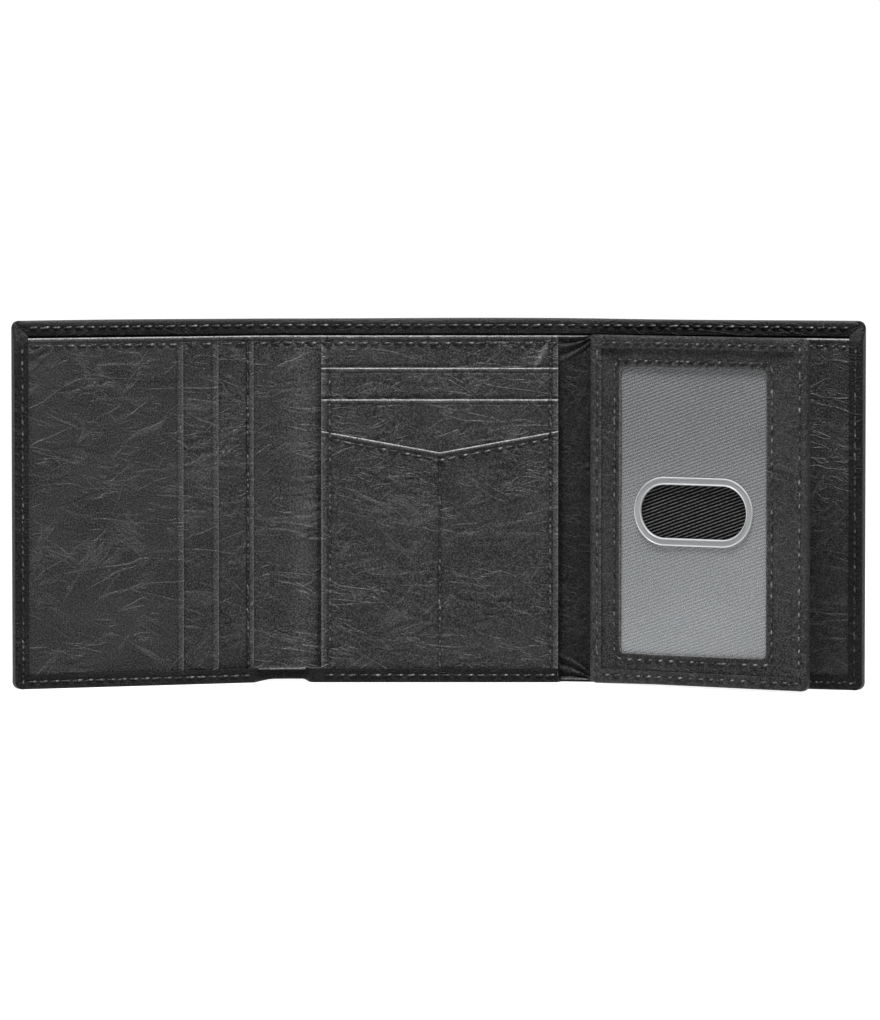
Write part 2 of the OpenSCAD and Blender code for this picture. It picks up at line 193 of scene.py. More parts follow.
# How far each body follows left outer, left inner, right inner, right outer and the flap's root
FOLLOWS = {
    "left_panel": (1, 1, 0, 0, 0),
    "left_fold": (0, 1, 0, 0, 0),
    "centre": (0, 0, 0, 0, 0),
    "right_fold": (0, 0, 1, 0, 0),
    "right_panel": (0, 0, 1, 1, 0),
    "id_flap": (0, 0, 1, 1, 1),
}
# Long pieces are cut in the middle of each fold and of the centre, into one part for each bend
U_LEFT_CUT = (U_LEFT_OUTER + U_LEFT_INNER) / 2
U_CENTRE_CUT = (U_LEFT_INNER + U_RIGHT_INNER) / 2
U_RIGHT_CUT = (U_RIGHT_INNER + U_RIGHT_OUTER) / 2
ROW_PARTS = {
    "left": (0, U_LEFT_CUT),
    "left_centre": (U_LEFT_CUT, U_CENTRE_CUT),
    "right_centre": (U_CENTRE_CUT, U_RIGHT_CUT),
    "right": (U_RIGHT_CUT, U_END),
}


def row_part(bend, inset):
    """Where one part of a long piece starts and ends, if the piece stops short of both ends."""
    low, high = ROW_PARTS[bend]
    return max(low, inset), min(high, U_END - inset)


def soft_follow(u):
    """The same five shares for leather that runs through the creases without a break."""
    return (
        1 - smooth(u, U_LEFT_OUTER - LEFT_ZONE, U_LEFT_OUTER + LEFT_ZONE),
        1 - smooth(u, U_LEFT_INNER - LEFT_ZONE, U_LEFT_INNER + LEFT_ZONE),
        smooth(u, U_RIGHT_INNER - RIGHT_ZONE, U_RIGHT_INNER + RIGHT_ZONE),
        smooth(u, U_RIGHT_OUTER - RIGHT_ZONE, U_RIGHT_OUTER + RIGHT_ZONE),
        0,
    )


def turned(x, y, crease, share):
    angle = np.radians(crease.turn) * share
    across, out = x - crease.u, y + crease.depth
    c, s = np.cos(angle), np.sin(angle)
    return crease.u + across * c - out * s, -crease.depth + across * s + out * c


def placed(u, d, z, follow):
    """Flat points to points of the row frame, in millimetres. follow names a body, names a bend
    for leather that gives at every crease, or is five shares."""
    u, d, z = np.broadcast_arrays(*(np.asarray(a, float) for a in (u, d, z)))
    if isinstance(follow, str):
        follow = FOLLOWS.get(follow) or soft_follow(u)
    left_outer, left_inner, right_inner, right_outer, root = follow
    x, y = turned(u, -d, FLAP_ROOT, root)
    x, y = turned(x, y, RIGHT_OUTER, right_outer)
    x, y = turned(x, y, RIGHT_INNER, right_inner)
    x, y = turned(x, y, LEFT_OUTER, left_outer)
    x, y = turned(x, y, LEFT_INNER, left_inner)
    return np.stack([x + X_SHIFT, y + BACK_Y, z], -1)


def crease_ends(crease, bend):
    """Where the leather of a bend starts and stops to give, at mid height."""
    return [
        placed(crease.u + side * crease.zone, LEATHER_T, WALLET_H / 2, bend) for side in (-1, 1)
    ]


# Each bend: the two bodies that its leather joins, and where it starts and ends
BENDS = {
    "left": ("left_panel", "left_fold", *crease_ends(LEFT_OUTER, "left")),
    "left_centre": ("left_fold", "centre", *crease_ends(LEFT_INNER, "left_centre")),
    "right_centre": ("centre", "right_fold", *crease_ends(RIGHT_INNER, "right_centre")),
    "right": ("right_fold", "right_panel", *crease_ends(RIGHT_OUTER, "right")),
    "flap_root": (
        "right_panel", "id_flap",
        placed(FLAP_ROOT.u, ROOT_STRIP_D + 0.2, WALLET_H / 2, "right_panel"),
        placed(FLAP_ROOT.u, FLAP_FRONT - 0.2, WALLET_H / 2, "id_flap"),
    ),
}


def bound(piece, body, nodes=()):
    """Hides the CAD nodes that a piece stands for, and ties the piece to the body that it moves
    with; a piece on a bend has its placed shape baked in and stays unparented."""
    if nodes:
        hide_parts(*nodes)
    if body not in BENDS:
        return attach(piece, body)
    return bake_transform(piece)


# ---------------------------------------------------------------- materials
class Shader:
    """A material's node tree, built one node at a time."""

    def __init__(self, name):
        self.material = bpy.data.materials.new(name)
        self.material.use_nodes = True
        self.tree = self.material.node_tree
        self.bsdf = next(n for n in self.tree.nodes if n.type == "BSDF_PRINCIPLED")

    def put(self, socket, value):
        if isinstance(value, bpy.types.NodeSocket):
            self.tree.links.new(value, socket)
        else:
            socket.default_value = value

    def add(self, kind, inputs, output=0, **settings):
        node = self.tree.nodes.new("ShaderNode" + kind)
        for key, value in settings.items():
            setattr(node, key, value)
        for key, value in inputs.items():
            self.put(node.inputs[key], value)
        return node.outputs[output]

    def flat(self):
        """The place on the flat leather, in metres."""
        return self.add("Attribute", {}, "Vector", attribute_name="flat")

    def wear_and_light(self):
        """Above 0 for rubbed wear and painted highlights, 0 on plain leather, below 0 for painted
        shade in seams, grooves and hollows.
        """
        return self.add("Attribute", {}, "Fac", attribute_name="wear_and_light")

    def math(self, operation, a, b=0.0, c=0.0):
        return self.add("Math", {0: a, 1: b, 2: c}, operation=operation)

    def times(self, a, b):
        return self.math("MULTIPLY", a, b)

    def times_plus(self, a, b, c):
        return self.math("MULTIPLY_ADD", a, b, c)

    def stretched(self, vector, by):
        return self.add("VectorMath", {0: vector, 1: by}, operation="MULTIPLY")

    def tilted(self, vector, radians):
        return self.add("Mapping", {"Vector": vector, "Rotation": (0, 0, radians)})

    def noise(self, vector, scale, detail=3.0, rough=0.55, output="Fac"):
        inputs = {"Vector": vector, "Scale": scale, "Detail": detail, "Roughness": rough}
        return self.add("TexNoise", inputs, output)

    def cells(self, vector, scale, feature="DISTANCE_TO_EDGE"):
        inputs = {"Vector": vector, "Scale": scale}
        return self.add("TexVoronoi", inputs, "Distance", feature=feature)

    def wave(self, vector, scale, direction="X", **more):
        inputs = {"Vector": vector, "Scale": scale, **more}
        return self.add("TexWave", inputs, "Fac", bands_direction=direction)

    def spread(self, value, low, high, to_low=0.0, to_high=1.0):
        inputs = {
            "Value": value, "From Min": low, "From Max": high, "To Min": to_low, "To Max": to_high
        }
        return self.add("MapRange", inputs, interpolation_type="SMOOTHSTEP")

    def blend(self, share, a, b):
        return self.add("Mix", {0: share, 6: a, 7: b}, 2, data_type="RGBA")

    def bump(self, height, strength, distance):
        return self.add("Bump", {"Height": height, "Strength": strength, "Distance": distance})

    def surface(self, **values):
        for key, value in values.items():
            self.put(self.bsdf.inputs[key.replace("_", " ")], value)
        if "Alpha" in values:
            self.material.surface_render_method = "BLENDED"
        return self.material


def grey(value, warm=0.0):
    return (value * (1 + warm), value, value * (1 - warm), 1)


def crease_lines(s, flat, degrees, scale, width, patches):
    """Long fine creases that run at an angle, in patches."""
    tilt = s.tilted(flat, math.radians(degrees))
    drawn_out = s.stretched(tilt, (0.26, 1.35, 1.0))
    level = s.math("ABSOLUTE", s.math("SUBTRACT", s.noise(drawn_out, scale, 2.5, 0.5), 0.5))
    patch = s.spread(s.noise(tilt, patches, 2), 0.44, 0.64)
    return s.times(s.spread(level, 0.0, width, 1.0, 0.0), patch)


def crease_net(s, flat):
    """Patches of short creases that cross in a net."""
    drift = s.noise(flat, 140, 2, output="Color")
    drift = s.add("VectorMath", {0: drift, 1: (0.5, 0.5, 0.5)}, operation="SUBTRACT")
    drift = s.stretched(drift, (0.0025, 0.0025, 0.0))
    bent = s.add("VectorMath", {0: flat, 1: drift}, operation="ADD")
    net = s.cells(s.stretched(bent, (0.55, 1.3, 1.0)), 190)
    patch = s.spread(s.noise(flat, 75, 2), 0.52, 0.66)
    return s.times(s.spread(net, 0.0, 0.06, 1.0, 0.0), patch)


def leather_material(name, shade, worn, creases=1.0, rough=0.46, gloss=0.21):
    """Black leather with bundles of fine creases, pebbled grain, mottling, worn ridges, painted
    highlights and painted shade.
    """
    s = Shader(name)
    flat, wear_and_light = s.flat(), s.wear_and_light()
    lines = s.times(crease_net(s, flat), 0.6)
    for degrees, scale, width, patches in (
        (4, 75, 0.024, 50), (-24, 120, 0.026, 66), (31, 105, 0.024, 58), (-52, 95, 0.020, 71),
        (9, 210, 0.030, 84),
    ):
        lines = s.math("MAXIMUM", lines, crease_lines(s, flat, degrees, scale, width, patches))
    grain = s.cells(flat, 1700, "SMOOTH_F1")
    speckle = s.noise(flat, 2400, 3.0, 0.75)
    tone = s.noise(s.stretched(flat, (0.8, 1.2, 1.0)), 60, 5, 0.6)
    height = s.times_plus(grain, 0.45, s.times(speckle, 0.75))
    height = s.times_plus(lines, 0.75 * creases, height)
    # Painted shade: where the wear attribute is below 0 (seams, grooves, hollows, hidden faces)
    # the colour goes near black and the specular level drops.
    painted_shade = s.spread(wear_and_light, -1.0, 0.0, 1.0, 0.0)
    # Rubbed wear, plus painted highlights on edges, wrinkle ridges and crease lines, blends the
    # colour towards the worn grey.
    wear_and_highlight = s.times_plus(wear_and_light, 0.50, s.times(lines, 0.07 * creases))
    wear_and_highlight = s.times(wear_and_highlight, s.spread(speckle, 0.35, 0.65, 0.35, 1.0))
    colour = s.blend(s.spread(tone, 0.3, 0.7), grey(shade * 0.45), grey(shade * 1.6, 0.02))
    colour = s.blend(s.spread(speckle, 0.42, 0.66), colour, grey(shade * 4.0, 0.01))
    colour = s.blend(painted_shade, colour, grey(0.0003))
    colour = s.blend(wear_and_highlight, colour, grey(worn))
    shine = s.spread(speckle, 0.35, 0.65, gloss * 0.45, gloss * 1.5)
    return s.surface(
        Base_Color=colour, Roughness=s.times_plus(tone, 0.22, rough - 0.11),
        Normal=s.bump(height, 1.0, 0.00036),
        Specular_IOR_Level=s.times(shine, s.spread(painted_shade, 0.0, 0.9, 1.0, 0.05)),
    )


def thread_material():
    """Black waxed thread with a twist, with painted glints: random light flecks, and one towards
    one end of each stitch.
    """
    s = Shader("black_thread")
    flat = s.flat()
    twist = s.wave(s.tilted(flat, 0.9), 620.0, Distortion=1.5, Detail=1.0)
    # Painted glints in random flecks.
    painted_glint_flecks = s.times(s.spread(s.noise(flat, 420, 2), 0.50, 0.70), 0.35)
    colour = s.blend(s.math("MAXIMUM", painted_glint_flecks, s.wear_and_light()), grey(0.0015), grey(0.26))
    return s.surface(
        Base_Color=colour, Roughness=0.42, Normal=s.bump(twist, 0.6, 0.00012),
        Specular_IOR_Level=0.35,
    )


def twill_ribs(s, flat):
    """The fine ribs of the twill, which rise to the right."""
    return s.wave(s.tilted(flat, math.radians(-19)), 350.0, "Y", Distortion=0.5, Detail=1.0)


def twill_material():
    """Black twill: fine ribs crossed by the weft."""
    s = Shader("black_twill")
    flat = s.flat()
    ribs = twill_ribs(s, flat)
    height = s.times_plus(s.wave(flat, 420.0), 0.35, ribs)
    lint = s.spread(s.noise(flat, 1500, 2), 0.3, 0.7, 0.35, 1.0)
    colour = s.blend(s.times(s.spread(ribs, 0.55, 1.0), lint), grey(0.001), grey(0.13))
    return s.surface(
        Base_Color=colour, Roughness=0.8, Normal=s.bump(height, 0.6, 0.00025),
        Specular_IOR_Level=0.06,
    )


def lining_material():
    """Plain woven black lining of the banknote pocket."""
    s = Shader("bill_lining_fabric")
    flat = s.flat()
    weave = s.times(s.wave(flat, 520.0), s.wave(flat, 520.0, "Y"))
    return s.surface(
        Base_Color=s.blend(s.noise(flat, 300, 3), grey(0.010), grey(0.030)), Roughness=0.7,
        Normal=s.bump(weave, 0.5, 0.0002), Sheen_Weight=0.2,
    )


def film_material():
    """Satin clear plastic, a little milky, with a painted reflection that makes it brighter
    towards its foot, with faint scuffs and the ribs of the twill pressed into it."""
    s = Shader("clear_film")
    flat = s.flat()
    high = s.add("SeparateXYZ", {"Vector": flat}, "Y")
    # Painted reflection: the colour brightens from the top of the window towards its foot.
    reflection_ramp = s.spread(high, WINDOW_LOW * MM, (WINDOW_LOW + WINDOW_H) * MM, 1.0, 0.0)
    scuff = s.noise(s.stretched(flat, (0.5, 1.2, 1.0)), 45, 3)
    scuffs_and_reflection = s.times_plus(scuff, 0.6, s.times_plus(reflection_ramp, 0.7, -0.1))
    colour = s.blend(scuffs_and_reflection, grey(0.27, -0.03), grey(0.50, -0.03))
    ribs = s.spread(twill_ribs(s, flat), 0.1, 0.9, 1.0, 0.0)
    pressed = s.times(ribs, s.spread(reflection_ramp, 0.0, 1.0, 0.42, 0.24))
    return s.surface(
        Base_Color=s.blend(pressed, colour, grey(0.06)),
        Roughness=s.times_plus(scuff, 0.14, 0.42), Alpha=0.38,
        Normal=s.bump(scuff, 0.08, 0.0002), Specular_IOR_Level=0.2, IOR=1.46,
    )


def rim_material():
    """The moulded rim round the thumb notch: clear, with a painted highlight on its two lips,
    which are also less clear.
    """
    s = Shader("clear_rim")
    painted_lip_highlight = s.wear_and_light()
    return s.surface(
        Base_Color=s.blend(painted_lip_highlight, grey(0.42, -0.02), grey(0.62, -0.01)),
        Alpha=s.spread(painted_lip_highlight, 0.2, 0.9, 0.50, 0.90), Roughness=0.3, Specular_IOR_Level=0.4,
        Normal=s.bump(s.noise(s.flat(), 500, 2), 0.06, 0.0001),
    )


OUTER = leather_material("shell_leather", 0.004, 0.30, creases=0.5, gloss=0.13)
POCKET = leather_material("pocket_leather", 0.011, 0.50)
FRAME_SKIN = leather_material("flap_leather", 0.011, 0.40, creases=0.45, rough=0.48)
# A darker copy of the pocket leather for the right fold: painted shade, for the shadow between the
# pocket block and the flap.
SHADED_FOLD_LEATHER = leather_material("fold_leather", 0.004, 0.30, creases=0.6, rough=0.55, gloss=0.16)
THREAD = thread_material()
TWILL = twill_material()
LINING = lining_material()
FILM = film_material()
RIM = rim_material()


# ---------------------------------------------------------------- meshes
def stations(low, high, step, fine=(), edge=(0.06, 0.16, 0.32, 0.6)):
    """Places from low to high about a step apart, closer at both ends and round each of fine."""
    count = max(2, int(round((high - low) / step)) + 1)
    places = set(np.round(np.linspace(low, high, count), 4))
    for e in edge:
        places |= {round(low + e, 4), round(high - e, 4)}
    for f in fine:
        places |= {round(f + o, 4) for o in (-0.7, -0.35, 0, 0.35, 0.7)}
    ordered = [low]
    for p in sorted(places):
        if low < p < high and p - ordered[-1] > 0.05:
            ordered.append(p)
    if high - ordered[-1] < 0.05:
        ordered.pop()
    return np.array(ordered + [high])


def pattern(u, z, shift):
    """Where the materials find a point: its flat place, on a layer of its own."""
    return np.stack([u, z, np.full_like(u, shift)], -1)


def finished(name, points, faces, flat, wear_and_light, material):
    mesh = bpy.data.meshes.new(name)
    mesh.from_pydata((points * MM).tolist(), [], faces)
    mesh.validate()
    place = mesh.attributes.new("flat", "FLOAT_VECTOR", "POINT")
    place.data.foreach_set("vector", (flat * MM).astype(np.float32).ravel())
    rubbed_and_painted_light = mesh.attributes.new("wear_and_light", "FLOAT", "POINT")
    rubbed_and_painted_light.data.foreach_set("value", wear_and_light.astype(np.float32).ravel())
    mesh.shade_smooth()
    mesh.materials.append(material)
    return linked(name, mesh)


def two_faced(name, outer, inner, flat, wear_and_light, material, ring=False):
    """A closed solid between an outer and an inner grid of points. A ring joins its last row to
    its first."""
    n, m = outer.shape[:2]
    index = np.arange(n * m).reshape(n, m)
    if ring:
        index = np.concatenate([index, index[:1]])
    a, b, c, d = index[:-1, :-1], index[1:, :-1], index[1:, 1:], index[:-1, 1:]
    front = np.stack([a, b, c, d], -1).reshape(-1, 4)
    faces = [front, front[:, ::-1] + n * m]
    loops = [index[:, 0], index[::-1, -1]]
    if not ring:
        loops += [index[-1, :], index[0, ::-1]]
    for loop in loops:
        start, end = loop[:-1], loop[1:]
        faces.append(np.stack([start, start + n * m, end + n * m, end], -1))
    points = np.concatenate([outer.reshape(-1, 3), inner.reshape(-1, 3)])
    # The inner face takes its wear as a darkening: painted shade.
    rubbed_and_painted_light = np.concatenate([wear_and_light.ravel(), -abs(wear_and_light).ravel()])
    flat = np.tile(flat.reshape(-1, 3), (2, 1))
    piece = finished(name, points, np.concatenate(faces).tolist(), flat, rubbed_and_painted_light, material)
    piece.data.set_sharp_from_angle(angle=math.radians(55))
    return piece


class Path:
    """The outer path of folded leather, at each of many stations, and the inner path below it."""

    def __init__(self, stations_along):
        self.still = 0.0 * stations_along
        self.outer, self.inner = [], []

    def add(self, x, y, out_x, out_y, thick):
        point = np.stack([x + self.still, y + self.still], -1)
        self.outer.append(point)
        self.inner.append(point - thick * np.array([out_x, out_y]))

    def grids(self):
        return np.stack(self.outer, 1), np.stack(self.inner, 1)


# ---------------------------------------------------------------- leather
def relief(u, z, seed, height=1.0, lines=1.0):
    """Slow waves and bundles of wrinkles: (height in millimetres, wear and painted highlight on
    the wrinkle ridges, from 0 to 1).
    """
    rng = np.random.default_rng(seed)
    rise = np.zeros(np.shape(u))
    for _ in range(7):
        length, way = rng.uniform(14, 55), rng.uniform(0, math.pi)
        phase = (u * math.cos(way) + z * math.sin(way)) * 2 * math.pi / length
        rise += 0.03 * np.sin(phase + rng.uniform(0, 6.3))
    wear_and_light = np.zeros(np.shape(u))
    area_per_bundle = 165
    for _ in range(int(np.ptp(u) * np.ptp(z) / area_per_bundle * lines)):
        at_u, at_z = rng.uniform(u.min(), u.max()), rng.uniform(z.min(), z.max())
        way = rng.normal(-0.05, 0.3) if rng.random() < 0.75 else rng.uniform(-1.2, 1.2)
        along = (u - at_u) * math.cos(way) + (z - at_z) * math.sin(way)
        across = (z - at_z) * math.cos(way) - (u - at_u) * math.sin(way)
        across = across - rng.normal(0, 0.013) * along**2
        for wrinkle in range(rng.integers(2, 6)):
            slide, reach = rng.uniform(-4, 4), rng.uniform(3, 13)
            width, wobble = rng.uniform(0.42, 0.72), rng.uniform(0.3, 0.8)
            off = across - 1.6 * wrinkle - rng.uniform(-0.4, 0.4)
            off = off - 0.35 * np.sin(along * wobble + rng.uniform(0, 6.3))
            fade = np.clip(1 - ((along - slide) / reach) ** 2, 0, 1)
            ridge = bell(off, width) * fade
            groove = bell(off + 1.3 * width, width) * fade
            rise += rng.uniform(0.07, 0.21) * (ridge - 1.1 * groove)
            # Lighter wrinkle ridges: rubbed wear and a painted highlight.
            wear_and_light = np.maximum(wear_and_light, ridge**3 * rng.uniform(0.0, 0.14))
    return rise * height, wear_and_light


def from_line(u, z, start, end):
    """Distance of flat points from a straight seam."""
    run = np.array(end, float) - start
    share = np.clip(((u - start[0]) * run[0] + (z - start[1]) * run[1]) / (run @ run), 0, 1)
    return np.hypot(u - start[0] - share * run[0], z - start[1] - share * run[1])


def rounding(edge):
    """How far an edge is worn down, from 0 to 1, at a distance from it."""
    return 1 - np.sqrt(1 - (1 - np.clip(edge / EDGE_R, 0, 1)) ** 2)


def leather_sheet(
    name, body, nodes, u_range, z_range, d_range, seed, material=POCKET, slot="pocket_leather",
    step=0.62, beads=(), seams=(), height=1.0, lines=1.0, dip=None, joined=(), folds=None,
    painted_sheen=None,
):
    """A sheet of leather with worn, rounded edges. z_range holds numbers or functions of u.
    beads names the edges that are folded over, joined names those that go on in another part,
    and seams are lines sunk by their stitches, with painted shade along them. folds(u, z) adds to
    the height, and to the wear as painted highlight on its ridges and painted shade in its
    hollows.
    dip(u) takes from the height, and the last function of u adds a painted sheen to the wear."""
    upright = [start[0] for start, end in seams if start[0] == end[0]]
    level = [start[1] for start, end in seams if start[1] == end[1]]
    us = stations(*u_range, step, upright + [u_range[0] + SIDE_BEAD_W, u_range[1] - SIDE_BEAD_W])
    low, high = (np.array([f(u) if callable(f) else f for u in us]) for f in z_range)
    lowest, highest = low.min(), high.max()
    z_places = stations(lowest, highest, step, level + [highest - TOP_BEAD_W])
    shares = (z_places - lowest) / (highest - lowest)
    u = np.repeat(us[:, None], len(shares), 1)
    z = low[:, None] + shares[None, :] * (high - low)[:, None]
    gaps = {
        "left": u - us[0], "right": us[-1] - u, "bottom": z - low[:, None],
        "top": high[:, None] - z,
    }
    rise, wear_and_light = relief(u, z, seed, height, lines)
    rise = rise * smooth(np.minimum.reduce(list(gaps.values())), 0, 3)
    front = d_range[1] + rise
    if folds is not None:
        front = front + folds(u, z)
        # Folds paint their ridges lighter and their hollows darker: painted highlight and painted
        # shade.
        wear_and_light = wear_and_light + 1.1 * folds(u, z)
    # Folded edges: rubbed wear along each edge, strong on top edges where it is a painted
    # highlight; a lighter strip on side edges; a lighter second line below top edges; and a
    # painted shade line in the groove just past the edge.
    for side in beads:
        gap = gaps[side]
        if side in ("top", "bottom"):
            width, rubbed_and_painted_light, strip, second_line = TOP_BEAD_W, 1.7, 0.0, 0.22
        else:
            width, rubbed_and_painted_light, strip, second_line = SIDE_BEAD_W, 0.55, 0.10, 0.0
        front = front + 0.10 * np.clip(1 - (gap / width) ** 2, 0, 1)
        front = front - 0.22 * bell(gap - width - 0.1, 0.28)
        wear_and_light = np.maximum(wear_and_light, rubbed_and_painted_light * bell(gap, 0.3) + strip * (gap < width))
        wear_and_light = np.maximum(wear_and_light, second_line * bell(gap - width + 0.25, 0.25))
        wear_and_light = wear_and_light - 0.6 * bell(gap - width - 0.15, 0.2)
    for start, end in seams:
        off_seam = from_line(u, z, start, end)
        front = front - 0.20 * bell(off_seam, 0.5)
        # Painted shade along the sunk seam.
        wear_and_light = wear_and_light - 0.8 * bell(off_seam, 0.36)
    edge = np.minimum.reduce([gap for side, gap in gaps.items() if side not in joined])
    thick = d_range[1] - d_range[0]
    front = front - rounding(edge) * thick * 0.6
    back = d_range[0] + np.minimum(rise, thick * 0.5)
    if dip is not None:
        front, back = front - dip(u), back - dip(u)
    wear_and_light = np.maximum(wear_and_light, 0.3 * bell(edge, 0.25))
    # Painted sheen: a lighter band added to the wear.
    if painted_sheen is not None:
        wear_and_light = wear_and_light + painted_sheen(u)
    piece = two_faced(
        name, placed(u, front, z, body), placed(u, back, z, body), pattern(u, z, seed * 3.7),
        wear_and_light, material,
    )
    return bound(piece, body, nodes)


def corner_drop(gap):
    """How far a rounded corner pulls an edge in, at a distance from the corner."""
    short = np.clip(CORNER_R - gap, 0, CORNER_R)
    return CORNER_R - np.sqrt(CORNER_R**2 - short**2)


UPRIGHT_STEPS = (0.03, 0.10, 0.25, 0.38, 0.47, 0.56, 0.7, 0.85, 1.0)
LEVEL_STEPS = (0.03, 0.10, 0.25, 0.40, 0.52, 0.64, 0.8, 1.0)


def hem_path(gap, front, back, width, seam, steps, tails):
    """Leather turned over an edge, as (across, depth) paths. gap is the distance of each station
    from the nearest corner, and tails holds (across, depth, thickness) on the far side."""
    start = corner_drop(gap)
    inner_edge = np.minimum(width, np.maximum(start + 0.6, gap))
    path = Path(gap)
    path.add(inner_edge, front - 0.28, -0.4, 1, 0.02)
    for step in steps:
        across = inner_edge + step * (start + FOLD_R - inner_edge)
        path.add(across, front - 0.12 * bell(across - seam, 0.4), 0, 1, HEM_T)
    for c, s in arc(30, 60, 90):
        path.add(start + FOLD_R - FOLD_R * s, front - FOLD_R + FOLD_R * c, -s, c, HEM_T)
    path.add(start, (front + back) / 2, -1, 0, HEM_T)
    for c, s in arc(90, 60, 30, 0):
        path.add(start + FOLD_R - FOLD_R * s, back + FOLD_R - FOLD_R * c, -s, -c, HEM_T)
    for across, depth, thick in tails:
        path.add(start + FOLD_R + across, back + depth, 0, -1, thick)
    return path.grids()


def turned_edge(name, body, nodes, seed, material, along, edge, side, paths, level=False):
    """A strip along an upright edge at u = edge, or along a level one at z = edge. side is 1
    where the strip lies to the right of the edge or above it."""

    def flat_place(grid):
        across = edge + side * grid[..., 0]
        rest = np.repeat(along[:, None], grid.shape[1], 1)
        return (rest, grid[..., 1], across) if level else (across, grid[..., 1], rest)

    outer, inner = (flat_place(grid) for grid in paths)
    u, d, z = outer
    _, wear_and_light = relief(u + d, z, seed, 0.35, 0.5)
    grids = [placed(*outer, body), placed(*inner, body), pattern(u - d, z, seed * 2.1), wear_and_light * 0.5]
    if not level:
        grids = [grid[::-1] for grid in grids]
    if level == (side > 0):
        grids = [grid[:, ::-1] for grid in grids]
    return bound(two_faced(name, *grids, material), body, nodes)


def upright_edge(name, body, nodes, seed, material, edge, side, z_range, front, back, width, seam):
    """The turned side edge of a panel or of the flap. front is a function of z."""
    low, high = z_range
    z = stations(low + 0.03, high - 0.03, 1.1, [PANEL_TOP - 0.2, PANEL_TOP + 0.8],
                 (0.25, 0.6, 1.1, 1.8))
    paths = hem_path(
        np.minimum(z - low, high - z), front(z), back, width, seam, UPRIGHT_STEPS,
        [(0.5, 0, 0.30), (1.1, 0.02, 0.22)],
    )
    turned_edge(name, body, nodes, seed, material, z, edge, side, paths)


def cloth(name, body, nodes, us, zs, d_range, wave, shift, material):
    """A thin sheet of cloth held flat on another piece. wave(u, z) adds to its depth."""
    u, z = np.meshgrid(us, zs, indexing="ij")
    back, front = (d + wave(u, z) for d in d_range)
    piece = two_faced(
        name, placed(u, front, z, body), placed(u, back, z, body), pattern(u, z, shift), 0 * u,
        material,
    )
    bound(piece, body, nodes)


# ---------------------------------------------------------------- stitches
STITCH_PITCH = 3.3
STITCH_L = 2.75
STITCH_W = 0.54


def stitch_places(route):
    """Places and directions, about a pitch apart, along a route of flat (u, z) points."""
    route = np.array(route, float)
    runs = np.linalg.norm(np.diff(route, axis=0), axis=1)
    reach = np.concatenate([[0], np.cumsum(runs)])
    count = max(1, int(round(reach[-1] / STITCH_PITCH)))
    middles = (np.arange(count) + 0.5) * reach[-1] / count

    def at(distance):
        return np.stack([np.interp(distance, reach, route[:, i]) for i in (0, 1)], -1)

    way = at(middles + 0.4) - at(middles - 0.4)
    return zip(at(middles), way / np.linalg.norm(way, axis=1)[:, None])


def sew(name, body, nodes, seed, rows, behind=()):
    """Rows of thread lying on the leather. rows holds (flat points, depth), where a depth may
    be a function of u and z. behind holds the same for rows on the far side of the leather."""
    rng = np.random.default_rng(seed)
    s = np.array([-1, -0.86, -0.5, 0, 0.5, 0.86, 1])
    ring = np.linspace(0, 2 * math.pi, 9)[:-1]
    points, flats, painted_tip_glints, faces = [], [], [], []
    grid = np.arange(s.size * ring.size).reshape(s.size, ring.size)
    for route, depth, out in [(*row, 1) for row in rows] + [(*row, -1) for row in behind]:
        for (at_u, at_z), (way_u, way_z) in stitch_places(route):
            size = rng.uniform(0.9, 1.08)
            slant = math.radians(rng.normal(5, 2.5))
            a_u = way_u * math.cos(slant) - way_z * math.sin(slant)
            a_z = way_z * math.cos(slant) + way_u * math.sin(slant)
            radius = STITCH_W / 2 * np.sqrt(np.clip(1 - (0.93 * s) ** 4, 0, 1)) * size
            run = (s * STITCH_L / 2 * size)[:, None]
            side = out * radius[:, None] * np.cos(ring)
            lift = (0.16 - 0.30 * s**4)[:, None] + 0.75 * radius[:, None] * np.sin(ring)
            u = at_u + run * a_u - side * a_z
            z = at_z + run * a_z + side * a_u
            base = depth(at_u, at_z) if callable(depth) else depth
            follow = FOLLOWS.get(body) or soft_follow(np.full_like(u, at_u))
            points.append(placed(u, base + out * lift, z, follow).reshape(-1, 3))
            flats.append(np.stack([u, z, out * lift], -1).reshape(-1, 3))
            # A painted glint towards one end of each stitch.
            painted_tip_glint = rng.uniform(0.0, 1.0) * bell(s - 0.62, 0.25)
            painted_tip_glints.append(np.repeat(painted_tip_glint, ring.size))
            nxt = np.roll(grid, -1, 1)
            quads = np.stack([grid[:-1], grid[1:], nxt[1:], nxt[:-1]], -1).reshape(-1, 4)
            faces += quads.tolist()
            faces += [grid[0].tolist(), grid[-1][::-1].tolist()]
            grid = grid + grid.size
    flats, painted_tip_glints = np.concatenate(flats), np.concatenate(painted_tip_glints)
    piece = finished(name, np.concatenate(points), faces, flats, painted_tip_glints, THREAD)
    return bound(piece, body, nodes)


# ---------------------------------------------------------------- the outer shell
def hem_depth(u):
    """Depth of the front of the turned bottom edge, over panels, pockets and folds."""
    fold = 1.5
    left = 1 - smooth(u, U_LEFT_OUTER - 0.8, U_LEFT_OUTER + 1.6)
    centre = smooth(u, BLOCK_HEM_U - 1.3, BLOCK_HEM_U + 1.3)
    centre = centre * (1 - smooth(u, U_RIGHT_INNER - 1.2, U_RIGHT_INNER + 0.4))
    right = smooth(u, U_RIGHT_OUTER + 0.1, U_RIGHT_OUTER + 1.4)
    return fold + (SIDE_STACK - fold) * (left + right) + (CENTRE_STACK - fold) * centre


